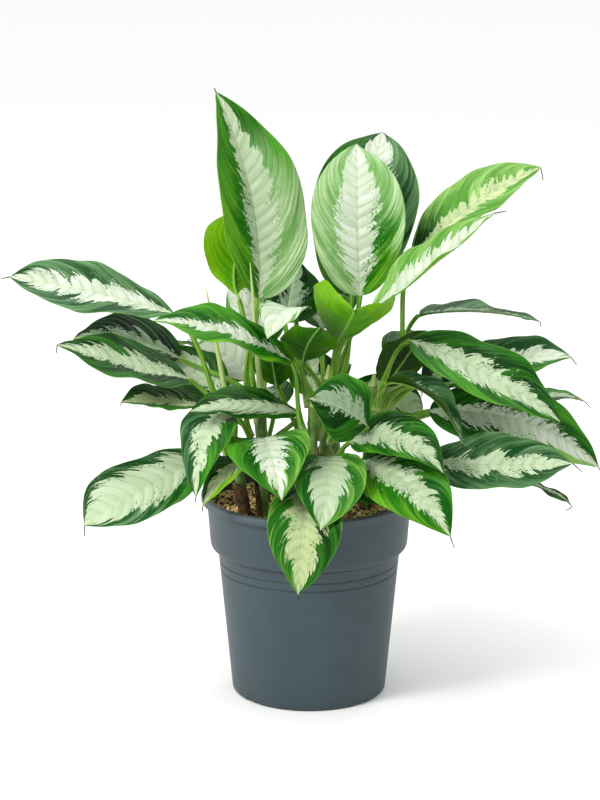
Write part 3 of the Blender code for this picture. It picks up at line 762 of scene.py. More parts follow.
    def blade_ring(self, t: float) -> list[Vector]:
        """Makes a ring of the plain blade.

        Args:
            t: The share of the way along.

        Returns:
            Five points on its upper side and five on its underside.
        """
        left, up = self.blade_sides(t)
        centre = self.rib_point(t)
        rib = RIB_THICKNESS + (RIB_TIP_THICKNESS - RIB_THICKNESS) * min(1.0, t)
        upper, lower = [], []
        for across in ACROSS:
            side, rise, slope = self.section(t, across)
            middle = centre + left * side + up * rise
            normal = up * math.cos(slope) - left * math.sin(slope)
            above = below = EDGE_THICKNESS / 2.0
            if abs(across) < 1.0:
                above = below = BLADE_THICKNESS / 2.0
            if across == 0.0:
                normal = up
                below = rib - above
            upper.append(middle + normal * above)
            lower.append(middle - normal * below)
        return upper + lower[::-1]

    def stalk_rings(self, extra: float = 0.0) -> list[list[Vector]]:
        """Makes all rings of the plain stalk, with extra room round it."""
        return [self.stalk_ring(t, extra) for t in STALK_ROWS]

    def blade_rings(self) -> list[list[Vector]]:
        """Makes all rings of the plain blade."""
        return [self.blade_ring(t) for t in BLADE_ROWS]


def plain_faces(rings: int) -> list[Face]:
    """Lists the triangles between the plain rings.

    Args:
        rings: How many rings there are.

    Returns:
        The faces.
    """
    wide = len(ACROSS)
    ends = [(place, place + 1, RING - 2 - place, RING - 1 - place) for place in range(wide - 1)]
    faces = [face[::-1] for face in ends]
    for row in range(rings - 1):
        low = row * RING
        high = low + RING
        for place in range(RING):
            after = (place + 1) % RING
            if place % wide < wide // 2:
                faces.append((low + place, low + after, high + after))
                faces.append((low + place, high + after, high + place))
            elif place % wide < wide - 1:
                faces.append((low + place, low + after, high + place))
                faces.append((low + after, high + after, high + place))
            else:
                faces.append((low + place, low + after, high + after, high + place))
    last = (rings - 1) * RING
    faces += [tuple(last + place for place in face) for face in ends]
    return faces


def surface_tree(rings: list[list[Vector]]) -> BVHTree:
    """Makes a search tree of the surface over some plain rings."""
    points = [point for ring in rings for point in ring]
    return BVHTree.FromPolygons(points, plain_faces(len(rings)))


class StalkRouter:
    """Routes the stalks stem by stem, the highest blade from the top node."""

    def __init__(self, shapes: dict[str, LeafShape]) -> None:
        """Takes the leaves' shapes.

        Args:
            shapes: The shapes by name.
        """
        self.shapes = shapes
        self.stems = {name: BVHTree.FromPolygons(*stem_mesh(stem)) for name, stem in STEMS.items()}
        self.blades = {name: surface_tree(shape.blade_rings()) for name, shape in shapes.items()}
        self.routed: list[BVHTree] = []

    def meetings(self, shape: LeafShape, stem_surface: BVHTree, obstacles: list[BVHTree]) -> int:
        """Counts where a stalk meets itself, its stem or, with some room around it, anything else.

        Args:
            shape: The leaf with its stalk placed.
            stem_surface: Its stem's search tree.
            obstacles: The search trees of what it may not touch.

        Returns:
            The number of meetings.
        """
        base = [shape.blade_ring(t) for t in BLADE_ROWS[:2]]
        surface = surface_tree(shape.stalk_rings() + base)
        faces = plain_faces(len(STALK_ROWS) + len(base))
        met = len(surface.overlap(stem_surface))
        for one, other in surface.overlap(surface):
            met += set(faces[one]).isdisjoint(faces[other])
        around = surface_tree(shape.stalk_rings(STALK_CLEARANCE) + base[:1])
        return met + sum(len(around.overlap(other)) for other in obstacles)

    def route_stalk(
        self, shape: LeafShape, height: float, stem_surface: BVHTree, obstacles: list[BVHTree]
    ) -> None:
        """Tries bends and places on the stem until the stalk is clear of every obstacle.

        Args:
            shape: The leaf.
            height: The share of the way up the stem.
            stem_surface: Its stem's search tree.
            obstacles: The search trees of what it may not touch.
        """
        fewest, best = math.inf, None
        for bend, drop, swing in itertools.product(STALK_BENDS, STALK_DROPS, STALK_SWINGS):
            place = (min(TOP_NODE, height - drop), swing, bend, stem_surface)
            shape.place_stalk(*place)
            met = self.meetings(shape, stem_surface, obstacles)
            if met == 0:
                return
            if met < fewest:
                fewest, best = met, place
        shape.place_stalk(*best)

    def route(self) -> None:
        """Routes every stalk."""
        for stem, stem_surface in self.stems.items():
            other_stems = [tree for name, tree in self.stems.items() if name != stem]
            names = [name for name, leaf in LEAVES.items() if leaf.stem == stem]
            names.sort(key=lambda name: -LEAVES[name].base[2])
            for place, name in enumerate(names):
                height = TOP_NODE - NODE_SPAN * place / max(1, len(names) - 1)
                shape = self.shapes[name]
                obstacles = [tree for other, tree in self.blades.items() if other != name]
                obstacles.append(surface_tree(shape.blade_rings()[1:]))
                obstacles += other_stems + self.routed
                self.route_stalk(shape, height, stem_surface, obstacles)
                self.routed.append(surface_tree(shape.stalk_rings()))


FINE_ACROSS = (
    1.0, 0.985, 0.94, 0.87, 0.78, 0.68, 0.58, 0.48, 0.38, 0.28, 0.19, 0.11, 0.06, 0.03,
    0.0, -0.03, -0.06, -0.11, -0.19, -0.28, -0.38, -0.48, -0.58, -0.68, -0.78, -0.87, -0.94,
    -0.985, -1.0,
)
FINE_RING = 2 * len(FINE_ACROSS)
FINE_BLADE_ROWS = 84
FINE_BASE_ROWS = (0.0006, 0.002, 0.005)
FINE_DRIP_ROWS = (1.25, 1.5, 1.75, 2.0)
FINE_STALK_ROWS = 20
VEIN_SPACING = 13.0
NODE_STEP = 60
NODE_SPREAD = 900
DRY_TIP = srgb(66, 44, 22)


class Recipe:
    """Builds the nodes of one Principled material."""

    def __init__(self, name: str) -> None:
        """Makes an empty material.

        Args:
            name: The material's name.
        """
        self.material = bpy.data.materials.new(name)
        self.material.use_nodes = True
        self.tree = self.material.node_tree
        self.shader = self.tree.nodes["Principled BSDF"]
        self.column = 0

    def node(self, kind: str, **settings: object) -> bpy.types.Node:
        """Adds a node.

        Args:
            kind: The node's type.
            settings: Its properties.

        Returns:
            The node.
        """
        made = self.tree.nodes.new(kind)
        self.column -= NODE_STEP
        made.location = (self.column, self.column % NODE_SPREAD)
        for key, value in settings.items():
            setattr(made, key, value)
        return made

    def put(self, socket: Socket, value: object) -> None:
        """Links a socket to another one, or sets its value.

        Args:
            socket: The input.
            value: The output or the number or colour.
        """
        if isinstance(value, Socket):
            self.tree.links.new(value, socket)
        else:
            socket.default_value = value

    def math(self, operation: str, a: object, b: object = 0.0, c: object = False) -> Socket:
        """Adds a sum.

        Args:
            operation: The sum's name.
            a: The first number.
            b: The second number.
            c: The third number, or True to keep the result from 0 to 1.

        Returns:
            The result.
        """
        made = self.node("ShaderNodeMath", operation=operation)
        self.put(made.inputs[0], a)
        self.put(made.inputs[1], b)
        if c is True:
            made.use_clamp = True
        elif c is not False:
            self.put(made.inputs[2], c)
        return made.outputs[0]

    def smooth(
        self, value: object, low: float, high: float, start: float = 0.0, end: float = 1.0
    ) -> Socket:
        """Eases from one number to another as a value passes from low to high.

        Args:
            value: What is read.
            low: Where the change starts.
            high: Where it ends, which may be less than low.
            start: The result at low.
            end: The result at high.

        Returns:
            The result.
        """
        if high < low:
            low, high, start, end = high, low, end, start
        made = self.node("ShaderNodeMapRange", interpolation_type="SMOOTHSTEP")
        for socket, number in zip(made.inputs[:5], (value, low, high, start, end)):
            self.put(socket, number)
        return made.outputs[0]

    def mix(self, factor: object, a: object, b: object) -> Socket:
        """Mixes two colours.

        Args:
            factor: The share of the second.
            a: The first colour.
            b: The second colour.

        Returns:
            The mixture.
        """
        made = self.node("ShaderNodeMix", data_type="RGBA")
        self.put(made.inputs[0], factor)
        self.put(made.inputs[6], a)
        self.put(made.inputs[7], b)
        return made.outputs[2]

    def pick(self, factor: object, yes: float, no: float) -> Socket:
        """Gives one number where the factor is 1 and another where it is 0."""
        return self.math("MULTIPLY_ADD", factor, yes - no, no)

    def parts(self, place: Socket) -> tuple[Socket, Socket]:
        """Splits a place into its first two numbers."""
        made = self.node("ShaderNodeSeparateXYZ")
        self.put(made.inputs[0], place)
        return made.outputs[0], made.outputs[1]

    def uv(self, name: str) -> Socket:
        """Reads one of the piece's own maps."""
        return self.node("ShaderNodeUVMap", uv_map=name).outputs[0]

    def object_place(self) -> Socket:
        """Reads the place on the object, in metres."""
        return self.node("ShaderNodeTexCoord").outputs["Object"]

    def height(self, place: Socket) -> Socket:
        """Reads the height of a place."""
        made = self.node("ShaderNodeSeparateXYZ")
        self.put(made.inputs[0], place)
        return made.outputs[2]

    def noise(self, place: object, scale: float, detail: float, roughness: float) -> Socket:
        """Adds a cloudy pattern.

        Args:
            place: Where it is read.
            scale: Its fineness.
            detail: Its finer layers.
            roughness: How strong those are.

        Returns:
            Numbers round a half.
        """
        made = self.node("ShaderNodeTexNoise")
        self.put(made.inputs["Vector"], place)
        made.inputs["Scale"].default_value = scale
        made.inputs["Detail"].default_value = detail
        made.inputs["Roughness"].default_value = roughness
        return made.outputs[0]

    def grain(
        self,
        place: tuple[Socket, Socket],
        scales: Pair,
        detail: float,
        roughness: float,
        seed: float = 0.0,
    ) -> Socket:
        """Adds a cloudy pattern stretched along the veins.

        Args:
            place: The number of the vein and the distance from the midrib.
            scales: The pattern's fineness across and along the veins.
            detail: Its finer layers.
            roughness: How strong those are.
            seed: Which of many such patterns it is.

        Returns:
            Numbers round a half.
        """
        made = self.node("ShaderNodeCombineXYZ")
        for socket, number, scale in zip(made.inputs, place, scales):
            self.put(socket, self.math("MULTIPLY", number, scale))
        made.inputs[2].default_value = seed
        return self.noise(made.outputs[0], 1.0, detail, roughness)

    def crease(self, vein: Socket, half: float) -> Socket:
        """Marks the lateral veins.

        Args:
            vein: The number of the vein, with its share of the way to the next.
            half: Half the mark's width, in the veins' spacing.

        Returns:
            1 on a vein and 0 between them.
        """
        saw = self.math("PINGPONG", vein, 0.5)
        return self.smooth(saw, half, 0.0)

    def shade(self, colour: object, roughness: object, specular: float) -> None:
        """Sets the shader's colour and gloss.

        Args:
            colour: The colour.
            roughness: The roughness.
            specular: The strength of its gloss.
        """
        self.put(self.shader.inputs["Base Color"], colour)
        self.put(self.shader.inputs["Roughness"], roughness)
        self.shader.inputs["Specular IOR Level"].default_value = specular

    def bump(self, height: object, strength: float, distance: float) -> None:
        """Adds fine relief.

        Args:
            height: The relief.
            strength: Its strength.
            distance: Its height in metres.
        """
        made = self.node("ShaderNodeBump")
        made.inputs["Strength"].default_value = strength
        made.inputs["Distance"].default_value = distance
        self.put(made.inputs["Height"], height)
        self.put(self.shader.inputs["Normal"], made.outputs[0])


@dataclass(frozen=True)
class LeafFinish:
    """The colours of one leaf's upper side, laid out along its own veins.

    broad is half the blade's width. tooth, nick and lobe are how deep the pale band's edge is cut
    where that is full_broad or more, in millimetres. A grain is how fine a pattern is across and
    along the veins.
    """

    name: str
    look: LeafLook
    broad: float
    full_broad: float = 34.0
    tooth: float = 10.0
    nick: float = 5.5
    lobe: float = 26.0
    tooth_grain: Pair = (1.6, 0.35)
    nick_grain: Pair = (4.2, 2.0)
    lobe_grain: Pair = (0.75, 0.35)
    spot_grain: Pair = (4.6, 4.2)
    patch_grain: Pair = (0.6, 0.4)
    streak_grain: Pair = (1.7, 0.3)
    swell_grain: Pair = (0.5, 0.16)
    mottle_grain: Pair = (3.4, 1.5)
    band_base: float = 0.55
    band_full: float = 0.3
    edge_blur: float = 0.4
    fleck_limit: float = 0.57
    fleck_step: float = 0.05
    turn_noise: float = 0.25
    turn_span: float = 0.32
    gloss: float = 0.12
    relief_height: float = 0.0008
    # The next two are painted shade colours: a dark green for the sunken veins in the green, and a
    # grey green for the pale band's hollows.
    crease_shade: Colour = srgb(10, 48, 12)
    band_shade: Colour = srgb(146, 176, 126)
    rim: Colour = srgb(124, 172, 70)
    rib: Colour = srgb(194, 212, 160)

    def inside(
        self, r: Recipe, out: Socket, along: Socket, on_left: Socket, place: tuple[Socket, Socket]
    ) -> Socket:
        """Measures how far inside the pale band's jagged edge a place is.

        Args:
            r: The material's recipe.
            out: The share of the way to the margin.
            along: The share of the way to the tip.
            on_left: 1 on the left half.
            place: The number of the lateral vein and the centimetres from the midrib.

        Returns:
            Millimetres, less than nothing in the green.
        """
        cuts = r.math("SUBTRACT", r.grain(place, self.tooth_grain, 1.0, 0.5), 0.5)
        teeth = r.math("MULTIPLY_ADD", r.math("ABSOLUTE", cuts), -5.0, 0.85)
        nicks = r.grain(place, self.nick_grain, 1.5, 0.5, 3.0)
        lobes = r.grain(place, self.lobe_grain, 1.0, 0.5)
        reach = r.pick(on_left, self.look.reach[0] * self.broad, self.look.reach[1] * self.broad)
        edge = r.math("MULTIPLY", reach, r.smooth(along, 0.0, self.band_full, self.band_base, 1.0))
        share = min(1.0, self.broad / self.full_broad)
        for pattern, cut in ((teeth, self.tooth), (nicks, self.nick), (lobes, self.lobe)):
            depth = cut * share
            edge = r.math("ADD", edge, r.math("MULTIPLY_ADD", pattern, depth, -depth / 2.0))
        return r.math("MULTIPLY_ADD", out, -self.broad, edge)

    def pale(self, r: Recipe, inside: Socket, spots: Socket, patches: Socket) -> Socket:
        """Marks the pale band, with green flecks near its edge and pale ones just outside it.

        Args:
            r: The material's recipe.
            inside: Millimetres inside the band's edge.
            spots: A fine pattern.
            patches: A broad pattern that gathers the flecks.

        Returns:
            1 in the band and 0 in the green.
        """
        pale = r.smooth(inside, -self.edge_blur, self.edge_blur)
        patch = r.smooth(patches, 0.40, 0.52)
        near = r.math("MULTIPLY", r.smooth(inside, 13.0, 2.0), patch)
        limit = self.fleck_limit - self.fleck_step * self.look.flecks
        fleck = r.math("MULTIPLY", r.smooth(spots, limit, limit + 0.03), near)
        pale = r.math("MULTIPLY", pale, r.math("SUBTRACT", 1.0, fleck))
        outside = r.math("MULTIPLY", r.smooth(inside, -10.0, -2.0), patch)
        stray = r.math("MULTIPLY", r.smooth(spots, 0.37, 0.34), outside)
        return r.math("MAXIMUM", pale, r.math("MULTIPLY", stray, 0.8))

    def green(self, r: Recipe, on_left: Socket, along: Socket, glow: Socket) -> Socket:
        """Mixes the margins' greens, which may change towards the tip.

        Args:
            r: The material's recipe.
            on_left: 1 on the left half.
            along: The share of the way to the tip.
            glow: From 0 where the green is deep to 1 where it is light, in part painted sheen.

        Returns:
            The colour.
        """
        look = self.look
        sides = []
        for side, margin in enumerate((look.left, look.right)):
            colour = r.mix(glow, margin.value.deep, margin.value.light)
            if look.tips:
                far = look.tips[side].value
                place = r.math("MULTIPLY_ADD", glow, self.turn_noise, along)
                turned = r.smooth(place, look.turn, look.turn + self.turn_span)
                colour = r.mix(turned, colour, r.mix(glow, far.deep, far.light))
            sides.append(colour)
        return r.mix(on_left, sides[1], sides[0])

    def band(self, r: Recipe, vein: Socket, streaks: Socket, swell: Socket) -> Socket:
        """Mixes the pale band's colours with painted shade, a grey green in low swells, in streaks
        and in the hollows along the veins.

        Args:
            r: The material's recipe.
            vein: The number of the lateral vein.
            streaks: A pattern stretched along the veins.
            swell: A broad pattern.

        Returns:
            The colour.
        """
        # Painted shade: the band turns grey green in low swells, along streaks and in the hollows
        # by the veins.
        colour = r.mix(r.smooth(swell, 0.36, 0.6, 0.34, 0.0), self.look.band.value, self.band_shade)
        colour = r.mix(r.smooth(streaks, 0.46, 0.68, 0.0, 0.25), colour, self.band_shade)
        hollow_shade = r.math("MULTIPLY", r.crease(vein, 0.26), r.smooth(streaks, 0.38, 0.6, 0.08, 0.34))
        return r.mix(hollow_shade, colour, self.band_shade)

    def relief(self, r: Recipe, vein: Socket, crease: Socket, patches: Socket) -> None:
        """Adds fine grain, sunken veins and, more in some patches, a rise between them.

        Args:
            r: The material's recipe.
            vein: The number of the lateral vein.
            crease: 1 on a vein.
            patches: A broad pattern.
        """
        grain = r.noise(r.object_place(), 900.0, 2.0, 0.5)
        height = r.math("MULTIPLY_ADD", crease, -0.8, r.math("MULTIPLY", grain, 0.2))
        depth = r.smooth(patches, 0.4, 0.62, -0.15, -1.2)
        height = r.math("MULTIPLY_ADD", r.crease(vein, 0.5), depth, height)
        r.bump(height, 0.6, self.relief_height)

    def upper(self) -> bpy.types.Material:
        """Makes the upper side: green margins, a jagged pale band, veins, midrib and brown tip,
        with painted sheen in the greens and painted shade along the veins and in the band.

        Returns:
            The material.
        """
        r = Recipe(f"leaf_upper_{self.name}")
        sideways, along = r.parts(r.uv("blade"))
        signed = r.math("MULTIPLY_ADD", sideways, 2.0, -1.0)
        out = r.math("ABSOLUTE", signed)
        on_left = r.math("GREATER_THAN", signed, 0.0)
        place = r.parts(r.uv("veins"))
        vein, away = place
        inside = self.inside(r, out, along, on_left, place)
        spots = r.grain(place, self.spot_grain, 2.0, 0.55)
        patches = r.grain(place, self.patch_grain, 1.0, 0.5, 5.0)
        streaks = r.grain(place, self.streak_grain, 3.0, 0.55)
        swell = r.grain(place, self.swell_grain, 1.0, 0.5, 9.0)
        mottle = r.grain(place, self.mottle_grain, 3.0, 0.6, 13.0)
        crease = r.crease(vein, 0.05)

        # Painted sheen mixed with the leaf's own streaks and mottling: the green lightens out from
        # the band's edge and on swells.
        outward = r.smooth(inside, -2.0, -26.0, 0.0, 0.5)
        glow = r.math("MULTIPLY_ADD", swell, 2.6, r.math("MULTIPLY_ADD", streaks, 1.6, -2.0))
        glow = r.math("MULTIPLY_ADD", mottle, 1.2, r.math("ADD", glow, -0.6))
        glow = r.math("ADD", outward, glow, True)
        green = self.green(r, on_left, along, glow)
        # Painted shade: the green darkens along the sunken lateral veins.
        green = r.mix(r.math("MULTIPLY", crease, 0.3), green, self.crease_shade)
        green = r.mix(r.smooth(out, 0.972, 0.995, 0.0, 0.55), green, self.rim)
        band = self.band(r, vein, streaks, swell)
        colour = r.mix(self.pale(r, inside, spots, patches), green, band)
        colour = r.mix(r.smooth(away, 0.17, 0.08, 0.0, 0.7), colour, self.rib)
        colour = r.mix(r.smooth(along, 1.0, 1.06), colour, DRY_TIP)
        r.shade(colour, r.math("MULTIPLY_ADD", streaks, 0.2, 0.3), self.gloss)
        self.relief(r, vein, crease, patches)
        return r.material


@dataclass(frozen=True)
class GreenFinish:
    """A leaf's underside or a stalk: streaks of two greens along the veins or the stalk."""

    name: str
    tone: Tone
    rib: Colour = srgb(150, 190, 80)
    foot: Colour = srgb(196, 208, 140)

    def underside(self) -> bpy.types.Material:
        """Makes a leaf's underside, with raised veins and a pale rib.

        Returns:
            The material.
        """
        r = Recipe(f"leaf_under_{self.name}")
        sideways, along = r.parts(r.uv("blade"))
        out = r.math("ABSOLUTE", r.math("MULTIPLY_ADD", sideways, 2.0, -1.0))
        vein, away = r.parts(r.uv("veins"))
        streaks = r.grain((vein, away), (2.2, 0.3), 3.0, 0.6)
        glow = r.math("MULTIPLY_ADD", streaks, 1.4, -0.6)
        glow = r.math("ADD", r.smooth(out, 0.1, 0.9, 0.0, 0.5), glow, True)
        colour = r.mix(glow, self.tone.deep, self.tone.light)
        crease = r.crease(vein, 0.07)
        colour = r.mix(r.math("MULTIPLY", crease, 0.35), colour, self.tone.deep)
        colour = r.mix(r.smooth(away, 0.22, 0.10, 0.0, 0.7), colour, self.rib)
        colour = r.mix(r.smooth(along, 1.0, 1.06), colour, DRY_TIP)
        r.shade(colour, 0.45, 0.14)
        r.bump(r.math("ADD", crease, r.noise(r.object_place(), 700.0, 2.0, 0.5)), 0.3, 0.0006)
        return r.material

    def stalk(self) -> bpy.types.Material:
        """Makes a smooth stalk with pale lengthways streaks.

        Returns:
            The material.
        """
        r = Recipe(f"stalk_{self.name}")
        around, along = r.parts(r.uv("blade"))
        streaks = r.grain((around, along), (9.0, 1.6), 3.0, 0.6)
        glow = r.smooth(streaks, 0.35, 0.68)
        colour = r.mix(glow, self.tone.deep, self.tone.light)
        colour = r.mix(r.smooth(along, 0.16, 0.0, 0.0, 0.55), colour, self.foot)
        r.shade(colour, 0.42, 0.16)
        r.bump(streaks, 0.25, 0.0008)
        return r.material


@dataclass(frozen=True)
class MottledFinish:
    """A dull finish whose colour drifts between two in clouds: the cane's skin, husks and earth.

    cloud and fine are the scale, detail and roughness of the broad and the fine pattern, span is
    where in the clouds the colour changes, and relief is the strength and height of the fine
    pattern's relief. A stain shows where the fine pattern is strong.
    """

    name: str
    dark: Colour
    light: Colour
    cloud: Point = (260.0, 4.0, 0.7)
    span: Pair = (0.42, 0.57)
    fine: Point = (700.0, 4.0, 0.7)
    relief: Pair = (0.7, 0.001)
    roughness: float = 0.92
    gloss: float = 0.25
    stain: Colour | None = None

    def material(self) -> bpy.types.Material:
        """Makes the finish.

        Returns:
            The material.
        """
        r = Recipe(self.name)
        place = r.object_place()
        fine = r.noise(place, *self.fine)
        colour = r.mix(r.smooth(r.noise(place, *self.cloud), *self.span), self.dark, self.light)
        if self.stain:
            colour = r.mix(r.smooth(fine, 0.58, 0.75, 0.0, 0.5), colour, self.stain)
        r.shade(colour, self.roughness, self.gloss)
        r.bump(fine, *self.relief)
        return r.material


CANE = MottledFinish(
    "cane_green", srgb(70, 112, 36), srgb(128, 160, 74), (60.0, 4.0, 0.6), (0.3, 0.7),
    (420.0, 3.0, 0.6), (0.3, 0.0008), 0.5, 0.5, srgb(96, 88, 50),
)
HUSK = MottledFinish(
    "dry_husk", srgb(44, 30, 18), srgb(128, 100, 66), (180.0, 4.0, 0.7), (0.3, 0.7),
    (180.0, 4.0, 0.7), (0.6, 0.001), 0.8, 0.3,
)
# The earths are lighter than the soil itself: painted light that makes up for the shade the leaves
# cast on it.
EARTHS = (
    MottledFinish("soil_bed", srgb(26, 18, 8), srgb(222, 184, 120)),
    MottledFinish("soil_brown", srgb(84, 60, 30), srgb(240, 204, 138)),
    MottledFinish("soil_dark", srgb(12, 8, 4), srgb(84, 60, 34)),
    MottledFinish("soil_tan", srgb(222, 190, 128), srgb(252, 236, 190)),
)
NEW_LEAF = Tone(srgb(96, 150, 50), srgb(170, 205, 120))
PETIOLE = Tone(srgb(62, 118, 16), srgb(140, 184, 70))


@dataclass(frozen=True)
class PotFinish:
    """Dark moulded plastic, finely grained and slightly scuffed.

    lines are the heights of the dark lines at the step and in the grooves, painted shade in those
    recesses, with their half-widths.
    """

    dark: Colour = srgb(54, 69, 75)
    light: Colour = srgb(58, 74, 80)
    scuff: Colour = srgb(120, 128, 128)
    groove: Colour = srgb(24, 24, 24)
    lip: Colour = srgb(98, 110, 116)
    lines: tuple[Pair, ...] = ((STEP_FOOT + 1.6, 2.6), (GROOVES[0], 1.1), (GROOVES[1], 1.1))
    gloss: float = 0.32

    def material(self) -> bpy.types.Material:
        """Makes the plastic.

        Returns:
            The material.
        """
        r = Recipe("dark_moulded_plastic")
        place = r.object_place()
        cloud = r.noise(place, 26.0, 3.0, 0.6)
        colour = r.mix(r.smooth(cloud, 0.3, 0.7), self.dark, self.light)
        specks = r.noise(place, 900.0, 1.0, 0.5)
        colour = r.mix(r.smooth(specks, 0.68, 0.8, 0.0, 0.35), colour, self.scuff)
        height = r.height(place)
        # Painted shade: dark lines under the band's step and in the two grooves.
        for level, reach in self.lines:
            away = r.math("ABSOLUTE", r.math("SUBTRACT", height, level * MM))
            colour = r.mix(r.smooth(away, reach * MM, 0.0, 0.0, 0.62), colour, self.groove)
        # Painted highlight: the lip lightens towards its top.
        foot = (POT_HEIGHT - LIP_HEIGHT - 1.0) * MM
        lip = r.smooth(height, foot, (POT_HEIGHT - 1.0) * MM, 0.0, 0.4)
        colour = r.mix(lip, colour, self.lip)
        r.shade(colour, r.math("MULTIPLY_ADD", cloud, 0.1, 0.42), self.gloss)
        r.bump(r.noise(place, 1400.0, 2.0, 0.6), 0.35, 0.0004)
        return r.material


def new_mesh(name: str, points: Iterable[Sequence[float]], faces: Sequence[Face]) -> bpy.types.Mesh:
    """Makes a mesh from points in millimetres.

    Args:
        name: Its name.
        points: Its points.
        faces: Its faces.

    Returns:
        The mesh.
    """
    mesh = bpy.data.meshes.new(name)
    mesh.from_pydata([Vector(point) * MM for point in points], [], faces)
    return mesh


def add_object(name: str, data: bpy.types.ID) -> bpy.types.Object:
    """Puts an object in the scene.

    Args:
        name: Its name.
        data: Its mesh, light or camera.

    Returns:
        The object.
    """
    made = bpy.data.objects.new(name, data)
    bpy.context.scene.collection.objects.link(made)
    return made


@dataclass
class Piece:
    """One visible piece while it is being made, in millimetres."""

    name: str
    points: list[Sequence[float]] = field(default_factory=list)
    faces: list[tuple[int, ...]] = field(default_factory=list)
    slots: list[int] = field(default_factory=list)
    blade_map: list[Pair] = field(default_factory=list)
    vein_map: list[Pair] = field(default_factory=list)

    def add(
        self, points: Iterable[Sequence[float]], faces: Iterable[Face], slot: int = 0
    ) -> None:
        """Adds a closed body.

        Args:
            points: Its points.
            faces: Its faces, counted from its own first point.
            slot: The material slot of its faces.
        """
        first = len(self.points)
        self.points.extend(points)
        for face in faces:
            self.faces.append(tuple(first + place for place in face))
            self.slots.append(slot)

    def finish(
        self, materials: Sequence[bpy.types.Material], nodes: Sequence[str]
    ) -> bpy.types.Object:
        """Makes the object, which rides on the plant's one body and stands for some CAD nodes.

        Args:
            materials: Its materials.
            nodes: The CAD nodes that it replaces.

        Returns:
            The object.
        """
        mesh = new_mesh(self.name, self.points, self.faces)
        mesh.polygons.foreach_set("material_index", self.slots)
        for name, places in (("blade", self.blade_map), ("veins", self.vein_map)):
            if places:
                layer = mesh.uv_layers.new(name=name)
                corners = [0] * len(mesh.loops)
                mesh.loops.foreach_get("vertex_index", corners)
                numbers = [number for corner in corners for number in places[corner]]
                layer.data.foreach_set("uv", numbers)
        shape = bmesh.new()
        shape.from_mesh(mesh)
        if shape.calc_volume(signed=True) < 0.0:
            bmesh.ops.reverse_faces(shape, faces=shape.faces)
        shape.to_mesh(mesh)
        shape.free()
        mesh.shade_smooth()
        for material in materials:
            mesh.materials.append(material)
        made = add_object(self.name, mesh)
        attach(made, "root")
        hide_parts(*nodes)
        LOG.info("%s: %d faces", self.name, len(self.faces))
        return made


